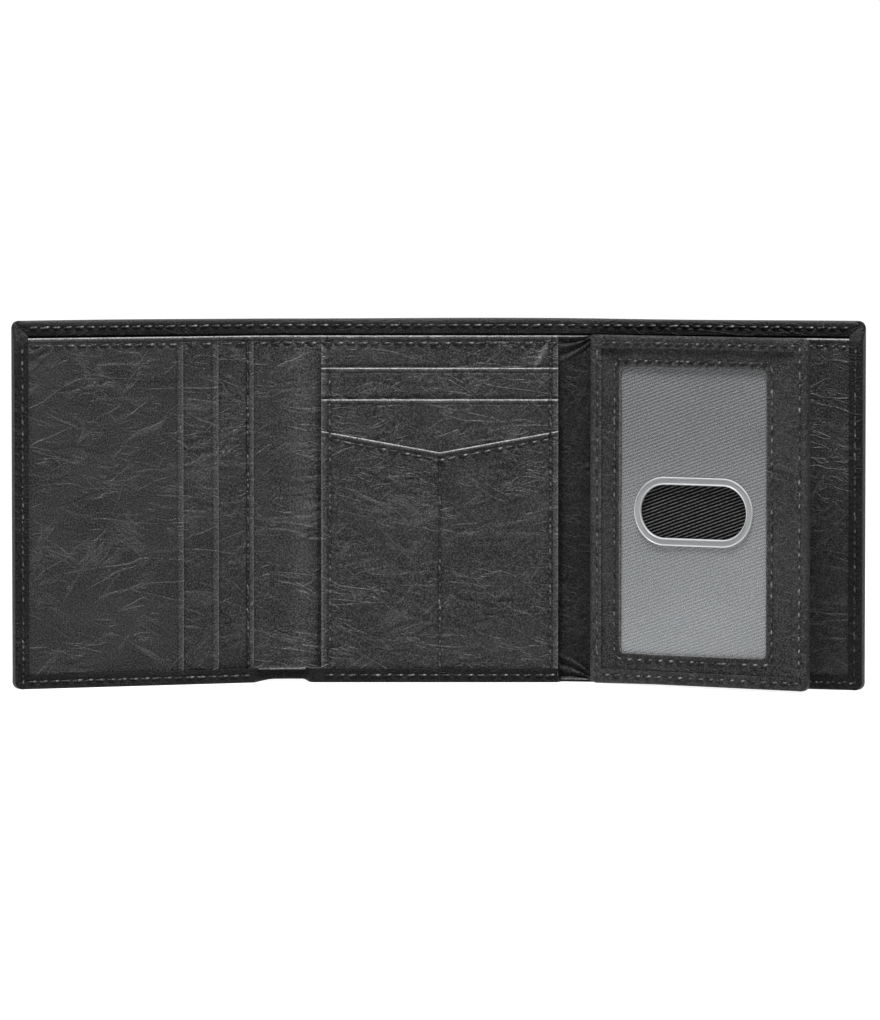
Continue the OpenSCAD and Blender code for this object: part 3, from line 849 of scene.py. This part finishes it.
def shell_section(u):
    """The shell's paths at each flat place u, as (depth, height): up the inside of the bottom
    hem, round the foot, up the back, over the top and down the top hem."""
    end_gap = np.minimum(u, U_END - u)
    drop = corner_drop(end_gap)
    raised = 1 - smooth(u, BLOCK_HEM_U - 1.3, BLOCK_HEM_U + 1.3)
    bottom = 0.02 + drop + 0.75 * smooth(u, U_LEFT_OUTER, U_LEFT_OUTER + 5) * raised
    top = WALLET_H - 0.12 - drop + 0.10 * np.sin(u / 17.0)
    front = hem_depth(u)
    hem_high = np.minimum(HEM_W, np.maximum(0.9, end_gap)) + bottom * 0.4
    hem_low = np.maximum(TOP_HEM_LOW, top - np.maximum(0.9, end_gap * 1.1))
    path = Path(u)
    path.add(front - 0.28, hem_high, 0.3, 1, 0.02)
    for share in (0.03, 0.08, 0.2, 0.45, 0.5, 0.55, 0.8, 1.0):
        height = hem_high + share * (bottom + FOLD_R - hem_high)
        path.add(front - 0.12 * bell(share - 0.5, 0.09), height, 1, 0, HEM_T)
    for c, s in arc(22, 45, 68, 90):
        path.add(front - FOLD_R + FOLD_R * c, bottom + FOLD_R - FOLD_R * s, c, -s, HEM_T)
    for share in (0.33, 0.66):
        path.add(front - FOLD_R + share * (2 * FOLD_R - front), bottom, 0, -1, HEM_T)
    for c, s in arc(90, 68, 45, 22, 0):
        path.add(FOLD_R - FOLD_R * c, bottom + FOLD_R - FOLD_R * s, -c, -s, HEM_T)
    for share in np.linspace(0, 1, 92)[1:-1]:
        path.add(0, bottom + FOLD_R + share * (top - TOP_R - bottom - FOLD_R), -1, 0, SHELL_T)
    for c, s in arc(*np.linspace(0, 180, 9)):
        path.add(TOP_R - TOP_R * c, top - TOP_R + TOP_R * s, -c, s, SHELL_T)
    for share in (0.2, 0.35, 0.42, 0.49, 0.65, 0.85, 0.95):
        height = top - TOP_R + share * (hem_low - top + TOP_R)
        path.add(2 * TOP_R - 0.12 * bell(share - 0.42, 0.06), height, 1, 0, SHELL_T)
    path.add(2 * TOP_R - 0.3, hem_low, 0.3, -1, 0.02)
    return path.grids()


def shell_part(bend, nodes, seed):
    low, high = row_part(bend, 0.9)
    steps = [U_LEFT_OUTER, U_LEFT_OUTER + 1.4, BLOCK_HEM_U, U_RIGHT_INNER, U_RIGHT_OUTER,
             U_RIGHT_OUTER + 1]
    steps = [step for step in steps if low + 1 < step < high - 1]
    at_end = bend in ("left", "right")
    along = stations(low, high, 1.1, steps, (0.3, 0.7, 1.2, 2.0, 3.0) if at_end else ())
    outer, inner = shell_section(along)
    u = np.repeat(along[:, None], outer.shape[1], 1)
    d, z = outer[..., 0], outer[..., 1]
    rise, wear_and_light = relief(u, z, seed, 1.2, 0.45)
    on_back = smooth(z, 2, 6) * (d < 0.01)
    rise = rise * on_back * smooth(np.minimum(abs(u - low), abs(u - high)), 0, 5)
    tuck = 0.30 * (1 - smooth(np.minimum(u, U_END - u), 0.9, 1.9)) * (d < 1.0)
    d = d + tuck - rise
    # A lighter band along the top fold: rubbed wear and a painted highlight.
    wear_and_light = np.maximum(wear_and_light * on_back * 0.6, 0.45 * bell(z - z.max(), 0.8))
    grids = [placed(u, d, z, bend), placed(u, inner[..., 0] + tuck - rise, inner[..., 1], bend),
             pattern(u, z - d, 5.0), wear_and_light]
    # Rows run right and the path runs down the front and up the back, so the grids are flipped
    piece = two_faced("outer_leather_" + bend, *(grid[:, ::-1] for grid in grids), OUTER)
    bound(piece, bend, nodes)


def outer_shell():
    nodes = {
        "left": ["left_shell", "left_top_hem", "left_bottom_hem"],
        "left_centre": ["left_fold_shell", "left_fold_top_hem", "left_fold_bottom_hem",
                        "centre_bottom_hem"],
        "right_centre": ["centre_shell", "centre_top_hem"],
        "right": ["right_fold_shell", "right_fold_top_hem", "right_fold_bottom_hem",
                  "right_shell", "right_top_hem", "right_bottom_hem"],
    }
    for seed, bend in enumerate(ROW_PARTS, 11):
        shell_part(bend, nodes[bend], seed)


def panel_front(z):
    """The side hems lie over the panels, and drop onto the shell above them."""
    return SIDE_STACK + 0.04 - (SIDE_STACK - 1.60) * smooth(z, PANEL_TOP - 1.5, WALLET_H - 0.5)


def side_hems():
    for side, edge, way, seed in (("left", 0, 1, 21), ("right", U_END, -1, 22)):
        upright_edge(
            side + "_side_turned_edge", side + "_panel", [side + "_side_hem"], seed, OUTER, edge,
            way, (0.02, WALLET_H - 0.1), panel_front, 0, HEM_W, SEAM_INSET,
        )


def linings():
    nodes = {
        "left": ["left_bill_lining"], "left_centre": ["left_fold_bill_lining"],
        "right_centre": ["centre_bill_lining"],
        "right": ["right_fold_bill_lining", "right_bill_lining"],
    }

    def wave(u, z):
        return 0.03 * np.sin(u / 5.0) * np.sin(z / 9.0)

    for bend in ROW_PARTS:
        cloth(
            "bill_lining_" + bend, bend, nodes[bend],
            stations(*row_part(bend, 1.2), 1.6, (), ()),
            stations(1.0, PANEL_TOP + 0.2, 2.4, (), (0.3,)), (0.96, 1.12), wave, 1.0,
            LINING,
        )


def top_threads():
    """The rows along the turned top edge of the shell, in one part for each bend."""
    nodes = {
        "left": ["left_top_stitching"], "left_centre": ["left_fold_stitching"],
        "right_centre": ["centre_top_stitching"],
        "right": ["right_fold_stitching", "right_top_stitching"],
    }
    z = WALLET_H - SEAM_INSET
    for seed, bend in enumerate(ROW_PARTS, 44):
        row = [(u, z) for u in row_part(bend, HEM_W + 0.5)]
        sew("top_thread_" + bend, bend, nodes[bend], seed, [(row, 2 * TOP_R - 0.06)], [(row, 0)])


# ---------------------------------------------------------------- side panels
def leaf_range(i):
    return LEAF_D[i] - LEATHER_T, LEAF_D[i] + 0.02


def left_panel():
    body = "left_panel"
    ends = [U_LEFT_OUTER - i * SLOT_STEP for i in range(3)]
    slot_u = U_LEFT_OUTER - SEAM_INSET + 0.3
    names = ["left_inner_leather", "left_middle_card_leaf", "left_front_card_leaf"]
    nodes = ["left_inner_panel", "left_middle_pocket", "left_front_pocket"]
    for i, end in enumerate(ends):
        seams = [((HEM_W, TOP_SEAM), (end - 0.8, TOP_SEAM))]
        if i == 0:
            seams.append(((slot_u, HEM_W), (slot_u, TOP_SEAM)))
        if i < 2:
            gap_u = ends[i + 1] + 0.3
            seams.append(((gap_u, INNER_LOW), (gap_u, PANEL_TOP)))
        leather_sheet(
            names[i], body, [nodes[i]], (0.65, end), (INNER_LOW, PANEL_TOP), leaf_range(i),
            31 + i, beads=("right", "top"), seams=seams,
        )
    starts = [ends[1] + 0.8, ends[2] + 0.8, HEM_W + 0.5]
    stops = [slot_u, ends[1] - 1.5, ends[2] - 1.5]
    rows = [([(starts[i], TOP_SEAM), (stops[i], TOP_SEAM)], LEAF_D[i]) for i in (2, 1, 0)]
    rows.append(([(slot_u, TOP_SEAM - 1), (slot_u, HEM_W + 0.5)], LEAF_D[0]))
    sew("left_panel_thread", body, ["left_panel_stitching"], 41, rows)
    low = SEAM_INSET
    row = [(low, TOP_SEAM + 1), (low, low), (U_LEFT_OUTER - 1.5, low)]
    sew("left_edge_thread", body, ["left_edge_stitching"], 42, [(row, SIDE_STACK - 0.05)],
        [(row, 0)])


def right_panel():
    body = "right_panel"
    start = U_RIGHT_OUTER + 0.8
    names = ["right_inner_leather", "right_middle_card_leaf", "right_front_card_leaf"]
    nodes = ["right_inner_panel", "right_middle_pocket", "right_front_pocket"]
    for i in range(3):
        u_low = start + i * SLOT_STEP
        leather_sheet(
            names[i], body, [nodes[i]], (u_low, U_END - 0.65), (INNER_LOW, PANEL_TOP),
            leaf_range(i), 71 + i, step=0.75, beads=("left", "top"),
            seams=[((u_low + 0.8, TOP_SEAM), (U_END - HEM_W, TOP_SEAM))],
        )
    row = [(start + 2 * SLOT_STEP + 1, TOP_SEAM), (U_END - HEM_W - 0.5, TOP_SEAM)]
    sew("right_panel_thread", body, ["right_panel_stitching"], 75, [(row, LEAF_D[2])])
    low = SEAM_INSET
    row = [(U_END - low, TOP_SEAM + 1), (U_END - low, low), (start + 1.5, low)]
    sew("right_edge_thread", body, ["right_edge_stitching"], 76, [(row, SIDE_STACK - 0.20)],
        [(row, 0)])


# ---------------------------------------------------------------- folds
def pleats(u, z):
    """The right fold's leather, bunched in both its corners against the flap's root."""
    rise = 0 * u
    for corner_z, way in ((PANEL_TOP + 1.0, -1), (INNER_LOW - 1.0, 1)):
        out, into = U_RIGHT_OUTER - 1.5 - u, way * (z - corner_z)
        bunched = smooth(PLEAT_REACH - into - 0.55 * (7 - out), 0, 0.9)
        ribs = np.cos(np.arctan2(into, out + 3.5) * 25 + 0.5 * out)
        rise = rise + bunched * (0.46 * ribs - 0.25)
    return rise * smooth(u, U_CENTRE_END + 0.2, U_CENTRE_END + 0.9)


def fold_leathers():
    """The plain leather of the two folds, each in two parts that bend at their creases."""

    def left_dip(u):
        under_leaf = 0.62 * (1 - smooth(u, U_LEFT_OUTER - 0.2, U_LEFT_OUTER + 2.2))
        return under_leaf + 0.54 * smooth(u, U_POCKETS - 1.6, U_POCKETS - 0.1)

    def right_dip(u):
        return 0.54 * (1 - smooth(u, U_CENTRE_END + 0.1, U_CENTRE_END + 1.6))

    # A painted sheen: a lighter band down the left fold, beside the pocket block.
    def painted_fold_sheen(u):
        return 0.10 * bell(u - U_POCKETS + 5.5, 3.2)

    def part(name, bend, nodes, seed, u_range, foot, cut, **more):
        leather_sheet(
            name, bend, nodes, u_range, (foot, PANEL_TOP), (PANEL_D - LEATHER_T, PANEL_D), seed,
            step=0.5, beads=("top", "bottom"), lines=1.2, joined=(cut,), painted_sheen=painted_fold_sheen, **more,
        )

    left_seam = ((U_LEFT_OUTER + 0.5, TOP_SEAM), (U_POCKETS, TOP_SEAM))
    left = {"seams": [left_seam], "dip": left_dip}
    right = {"folds": pleats, "material": SHADED_FOLD_LEATHER}
    part("left_fold_leather_outer", "left", ["left_fold_leather"], 51,
         (U_LEFT_OUTER - 3, U_LEFT_CUT), FOLD_FOOT, "right", **left)
    part("left_fold_leather_inner", "left_centre", [], 52, (U_LEFT_CUT, U_POCKETS + 1.5),
         FOLD_FOOT, "left", **left)
    part("right_fold_leather_inner", "right_centre", [], 53, (U_CENTRE_END - 1.5, U_RIGHT_CUT),
         INNER_LOW, "right", dip=right_dip, **right)
    part("right_fold_leather_outer", "right", ["right_fold_leather"], 54,
         (U_RIGHT_CUT, U_RIGHT_OUTER + 1.2), INNER_LOW, "left", **right)
    for name, bend, start, end, painted_shade in (
        ("outer", "left", U_LEFT_OUTER + 1.0, U_LEFT_CUT, 0.15),
        ("inner", "left_centre", U_LEFT_CUT, U_POCKETS - 1, 0.05),
    ):
        row = [(start, TOP_SEAM), (end, TOP_SEAM)]
        sew("left_fold_panel_thread_" + name, bend, [], 43, [(row, PANEL_D - painted_shade)])


# ---------------------------------------------------------------- centre pockets
def v_edge(u):
    """Height of the V-cut edge of the lowest centre pocket."""
    share = abs(u - U_POCKET_MIDDLE) / ((U_CENTRE_END - U_POCKETS) / 2)
    return POCKET_TOPS[2] - V_DROP * (1 - share)


def corner_crease(u, z):
    """The slanting crease in the centre's inner leather, below its top right corner."""
    start, end = (U_CENTRE_END - 6.5, POCKET_TOPS[0]), (U_CENTRE_END - 2.6, PANEL_TOP - 1.6)
    return 0.45 * bell(from_line(u, z, start, end), 0.7)


def pocket_depth(u, z):
    """Depth of whichever pocket is in front at a flat place on the centre."""
    if z < v_edge(u):
        return POCKET_D[2]
    for top, depth in ((POCKET_TOPS[1], POCKET_D[1]), (POCKET_TOPS[0], POCKET_D[0])):
        if z < top:
            return depth
    return PANEL_D


def centre_panel():
    body = "centre"
    left_row, right_row = U_POCKETS + 2.4, U_CENTRE_END - 2.2
    sides = [((u, HEM_W), (u, TOP_SEAM)) for u in (left_row, right_row)]
    top_row = ((U_POCKETS, TOP_SEAM), (U_CENTRE_END, TOP_SEAM))
    v_low = (U_POCKET_MIDDLE, v_edge(U_POCKET_MIDDLE) - SEAM_INSET)
    v_rows = [((u, POCKET_TOPS[2] - SEAM_INSET - 0.2), v_low) for u in (left_row, right_row)]
    divider = (v_low, (U_POCKET_MIDDLE, HEM_W))

    def slot_gap(i):
        return (U_POCKETS, POCKET_TOPS[i] + 0.3), (U_CENTRE_END, POCKET_TOPS[i] + 0.3)

    def layer(name, node, top, depth, seed, seams, lines, folds=None):
        leather_sheet(
            name, body, [node], (U_POCKETS, U_CENTRE_END), (INNER_LOW, top),
            (depth - LEATHER_T, depth + 0.02), seed, beads=("top", "left", "right"),
            seams=seams, lines=lines, folds=folds,
        )

    layer("centre_inner_leather", "centre_inner_panel", PANEL_TOP, PANEL_D, 61,
          [top_row, slot_gap(0)] + sides, 1.0, corner_crease)
    tops = [POCKET_TOPS[0], POCKET_TOPS[1], v_edge]
    seams = [[slot_gap(1)] + sides, sides, sides + v_rows + [divider]]
    for i, (node, lines) in enumerate(zip(POCKET_NODES, (0.5, 0.8, 1.2))):
        layer(node + "_leather", node, tops[i], POCKET_D[i], 62 + i, seams[i], lines)

    rows = [([(u, TOP_SEAM), (u, HEM_W + 0.5)], pocket_depth) for u in (left_row, right_row)]
    rows += [([v_rows[0][0], v_low, v_rows[1][0]], POCKET_D[2]), (divider, POCKET_D[2])]
    sew("pocket_thread", body, ["pocket_stitching"], 65, rows)
    sew("centre_panel_thread", body, ["centre_panel_stitching"], 66, [(top_row, PANEL_D)])
    row = [(U_POCKETS + 0.5, SEAM_INSET), (U_CENTRE_END - 0.5, SEAM_INSET)]
    sew("centre_bottom_thread", body, ["centre_bottom_stitching"], 67,
        [(row, CENTRE_STACK - 0.05)], [(row, 0)])


# ---------------------------------------------------------------- card window flap
def rounded_loop(u_low, u_high, z_low, z_high, r, per_side, per_corner=6):
    """Points round a rounded oblong, anticlockwise from the left end of its foot."""
    centres = [(u_high - r, z_low + r), (u_high - r, z_high - r), (u_low + r, z_high - r),
               (u_low + r, z_low + r)]
    arcs = []
    for i, (u, z) in enumerate(centres):
        turns = np.linspace(90 * (i - 1), 90 * i, per_corner + 1)
        arcs.append(np.array([(u + r * c, z + r * s) for c, s in arc(*turns)]))
    loop = []
    for i in range(4):
        side = np.linspace(arcs[i - 1][-1], arcs[i][0], per_side[i % 2] + 1)
        loop += [side[:-1], arcs[i][:-1]]
    return np.concatenate(loop)


def window_loop(grow, r, per_side):
    return rounded_loop(
        WINDOW_U - grow, WINDOW_U + WINDOW_W + grow, WINDOW_LOW - grow,
        WINDOW_LOW + WINDOW_H + grow, r, per_side,
    )


def notch_loop(grow):
    """Points round the thumb notch, anticlockwise, matched by angle to the film's outer edge."""
    count = 160
    w, h = NOTCH_W + 2 * grow, NOTCH_H + 2 * grow
    reach, straight = h / 2, w - h
    half = []
    for s in np.arange(count // 2) / count * (2 * straight + 2 * math.pi * reach):
        turn = (s - straight) / reach - math.pi / 2
        half.append(
            (s - straight / 2, -reach) if s < straight
            else (straight / 2 + reach * math.cos(turn), reach * math.sin(turn))
        )
    half = np.array(half)
    return np.concatenate([half, -half]) + NOTCH_AT


def ring_sheet(name, nodes, loops, shares, d_range, material, seed, height, profile=None,
               worn=True):
    """A flat sheet of the flap between two loops of matched points. profile(edge, share) adds to
    its depth. Plastic isn't worn: its raised lips get a painted highlight instead."""
    shares = np.asarray(shares)
    across = (loops[1] - loops[0])[:, None]
    grid = loops[0][:, None] + across * shares[None, :, None]
    u, z = grid[..., 0], grid[..., 1]
    rise, wear_and_light = relief(u, z, seed, height, 0.5 if worn else 0)
    edge = np.minimum(shares, 1 - shares)[None] * np.linalg.norm(across, axis=2)
    rise = rise * smooth(edge, 0, 2.5)
    raised = 0 * edge if profile is None else profile(edge, shares[None])
    thick = d_range[1] - d_range[0]
    front = d_range[1] + rise - rounding(edge) * thick * 0.6 + raised
    back = d_range[0] + np.minimum(rise, thick * 0.5)
    # On plastic the wear attribute holds only a painted highlight on the raised lips.
    wear_and_light = np.maximum(wear_and_light * 0.6, 0.7 * bell(edge, 0.3)) if worn else 3.2 * raised
    grids = [placed(u, front, z, "id_flap"), placed(u, back, z, "id_flap"),
             pattern(u, z, seed * 1.3), wear_and_light]
    # From the hole outwards along a row, anticlockwise along a column: flipped to face forward
    piece = two_faced(name, *(grid[:, ::-1] for grid in grids), material, ring=True)
    bound(piece, "id_flap", nodes)


def frame_profile(edge, shares):
    """The flap's frame: rolled at the window, with a sunk seam round it."""
    roll = 0.12 * np.clip(1 - (edge / 1.2) ** 2, 0, 1)
    return (roll - 0.13 * bell(edge - WINDOW_SEAM, 0.45)) * (shares < 0.5)


def rim_profile(edge, shares):
    """The two lips of the thumb notch's rim."""
    return 0.30 * (bell(shares - 0.14, 0.07) + bell(shares - 0.90, 0.06)) + 0 * edge


def window_and_frame():
    per_side = (54, 76)
    outline = rounded_loop(
        FLAP_U + 0.6, FLAP_END - 0.7, FLAP_LOW + 0.7, FLAP_HIGH - 0.7, 1.6, per_side
    )
    shares = [0, 0.007, 0.018, 0.035, 0.07, 0.11, 0.15, 0.19, 0.22, 0.26, 0.32, 0.40, 0.48, 0.56,
              0.64, 0.72, 0.80, 0.88, 0.95, 0.985, 1]
    ring_sheet(
        "flap_frame_leather", ["flap_frame"],
        (window_loop(0, 1.6, per_side), outline), shares, (FRAME_D - LEATHER_T, FRAME_D),
        FRAME_SKIN, 81, 0.7, frame_profile,
    )
    ring_sheet(
        "window_clear_film", ["window_film"],
        (notch_loop(0), window_loop(FILM_TUCK, 1.0, (30, 38))), np.linspace(0, 1, 26),
        (FILM_D, FILM_D + 0.18), FILM, 82, 0.9, worn=False,
    )
    ring_sheet(
        "thumb_notch_rim", ["notch_rim"], (notch_loop(-0.05), notch_loop(NOTCH_RIM)),
        np.linspace(0, 1, 25), (FILM_D + 0.20, FILM_D + 0.36), RIM, 83, 0.1, rim_profile, False,
    )


def flap_backing():
    def wave(u, z):
        return 0.04 * np.sin(u / 6.0 + 1) * np.sin(z / 8.0)

    cloth(
        "window_twill_backing", "id_flap", ["window_twill"],
        stations(FLAP_U + 1.2, FLAP_END - 1.2, 1.5, (), (0.3,)),
        stations(FLAP_LOW + 1.2, FLAP_HIGH - 1.2, 1.5, (), (0.3,)),
        (TWILL_D + 0.04, TWILL_D + 0.24), wave, 0.0, TWILL,
    )
    leather_sheet(
        "flap_back_leather", "id_flap", ["flap_back"], (FLAP_U, FLAP_END - 0.7),
        (FLAP_LOW + 0.7, FLAP_HIGH - 0.7), (FLAP_D + 0.02, TWILL_D), 84, slot="shell_leather",
        step=0.9, height=0.8,
    )


def flap_edges():
    def front(z):
        return FLAP_FRONT + 0.02 + 0 * z

    upright_edge(
        "flap_side_turned_edge", "id_flap", ["flap_side_hem"], 85, FRAME_SKIN, FLAP_END, -1,
        (FLAP_LOW, FLAP_HIGH), front, FLAP_D, FLAP_HEM_W + 0.8, SEAM_INSET + 0.2,
    )
    u = stations(FLAP_U + 0.4, FLAP_END - 0.4, 1.1, (), (0.25, 0.6, 1.1, 1.8))
    paths = hem_path(
        FLAP_END - u, FLAP_FRONT, FLAP_D, FLAP_HEM_W, SEAM_INSET, LEVEL_STEPS, [(0.8, 0.02, 0.3)]
    )
    for place, edge, side, seed in (("top", FLAP_HIGH, -1, 86), ("bottom", FLAP_LOW, 1, 87)):
        turned_edge(
            f"flap_{place}_turned_edge", "id_flap", [f"flap_{place}_hem"], seed, FRAME_SKIN, u,
            edge, side, paths, level=True,
        )


def flap_threads():
    low, high, outer = FLAP_LOW + SEAM_INSET, FLAP_HIGH - SEAM_INSET, FLAP_END - SEAM_INSET - 0.2
    row = [(FLAP_U + 3.2, low), (outer, low), (outer, high), (FLAP_U + 3.2, high)]
    sew("flap_edge_thread", "id_flap", ["flap_edge_stitching"], 88, [(row, FLAP_FRONT - 0.06)],
        [(row, FLAP_D + 0.15)])
    loop = window_loop(WINDOW_SEAM, 2.6, (20, 28))
    row = np.concatenate([loop, loop[:1]])
    sew("window_thread", "id_flap", ["window_stitching"], 89, [(row, FRAME_D - 0.05)])


def flap_root():
    """The leather that carries the flap: it runs from the right panel, forward round the flap's
    inner edge, and onto the flap's front."""
    middle = FLAP_ROOT.depth
    on_panel = [(4.8, -0.30), (4.5, 0), (3.4, 0), (2.4, 0), (1.7, 0.02), (1.2, 0.12), (0.9, 0.4),
                (0.75, 0.8)]
    round_edge = [(0.7, 0), (0.75, 0.5)]
    on_front = [(0.95, -0.35), (1.35, -0.05), (1.9, 0.05), (2.7, -0.05), (3.1, -0.1),
                (3.6, -0.02), (4.1, -0.02), (4.5, -0.25)]
    path = np.array([
        (U_RIGHT_OUTER + across, start + forward)
        for start, run in ((ROOT_STRIP_D, on_panel), (middle, round_edge), (FLAP_FRONT, on_front))
        for across, forward in run
    ])
    way = np.gradient(path, axis=0)
    way = way / np.linalg.norm(way, axis=1)[:, None]
    inner_path = path + 0.35 * np.stack([way[:, 1], -way[:, 0]], -1)
    along = stations(FLAP_LOW + 0.2, FLAP_HIGH - 0.2, 1.0, (), (0.15, 0.4, 0.8))
    z = np.repeat(along[:, None], len(path), 1)
    gather = 0.10 * (bell(z - FLAP_LOW, 4) + bell(z - FLAP_HIGH, 4)) * np.sin(z * 3.1)

    def laid(points):
        u, d = points[None, :, 0] + gather, points[None, :, 1] + 0 * z
        share = smooth(d, ROOT_STRIP_D + 0.2, FLAP_FRONT - 0.2)
        return placed(u, d, z, (0, 0, 1, 1, share)), u, d

    outer, u, d = laid(path)
    grids = [outer, laid(inner_path)[0], pattern(u + d, z, 9.0), 0.5 * bell(d - middle, 0.8)]
    piece = two_faced("flap_root_leather", *(grid[::-1] for grid in grids), FRAME_SKIN)
    bound(piece, "flap_root", ["flap_hinge_strip"])
    row = [(FLAP_U + 2.1, FLAP_HIGH - 4), (FLAP_U + 2.1, FLAP_LOW + 4)]
    sew("flap_root_thread", "id_flap", [], 90, [(row, FLAP_FRONT - 0.05)])


outer_shell()
side_hems()
linings()
left_panel()
fold_leathers()
top_threads()
centre_panel()
right_panel()
window_and_frame()
flap_backing()
flap_edges()
flap_threads()
flap_root()


# ---------------------------------------------------------------- stage, light and camera
def stage():
    """A wide pale floor that curves up far behind the wallet. It glows a little, so it stays
    even right up to its far edge."""
    width, front, back, bend, height = 4.5, -4.5, 3.4, 0.8, 2.4
    profile = [(front, 0.0)] + [
        (back - bend + bend * s, bend - bend * c) for c, s in arc(*np.linspace(0, 90, 13))
    ] + [(back, height)]
    verts = [(side * width, y, z) for y, z in profile for side in (-1, 1)]
    faces = [(2 * i, 2 * i + 1, 2 * i + 3, 2 * i + 2) for i in range(len(profile) - 1)]
    mesh = bpy.data.meshes.new("studio_floor")
    mesh.from_pydata(verts, [], faces)
    mesh.shade_smooth()
    mesh.materials.append(Shader("pale_floor").surface(
        Base_Color=grey(0.25), Roughness=0.9, Emission_Color=grey(1.0), Emission_Strength=0.92
    ))
    linked("studio_floor", mesh)


def area_light(name, at, size, watts):
    """A soft rectangular light that points at the wallet."""
    data = bpy.data.lights.new(name, "AREA")
    data.shape = "RECTANGLE"
    data.size, data.size_y = size
    data.energy = watts
    aimed(linked(name, data), at, (0, 0, 0.05))


def lights():
    world = bpy.data.worlds.new("studio")
    world.use_nodes = True
    background = world.node_tree.nodes["Background"]
    background.inputs["Color"].default_value = (1, 1, 1, 1)
    background.inputs["Strength"].default_value = 0.06
    bpy.context.scene.world = world
    area_light("overhead_softbox", (-0.02, -0.20, 0.90), (0.5, 0.12), 17)
    area_light("front_softbox", (-0.6, -1.4, 0.9), (0.6, 0.5), 1.2)


def camera():
    """Looks slightly down at the open wallet, as in a catalogue picture."""
    distance, rise = 2.0, math.radians(3.3)
    aim = Vector((0.0005, BACK_Y * MM, 0.0481))
    seen_height = 0.2856
    data = bpy.data.cameras.new("camera")
    data.sensor_width = 36
    data.lens = data.sensor_width * distance / seen_height
    data.clip_start = 0.05
    made = linked("camera", data)
    aimed(made, aim + Vector((0, -math.cos(rise), math.sin(rise))) * distance, aim)
    bpy.context.scene.camera = made


stage()
lights()
camera()
bpy.context.scene.view_settings.view_transform = "Standard"
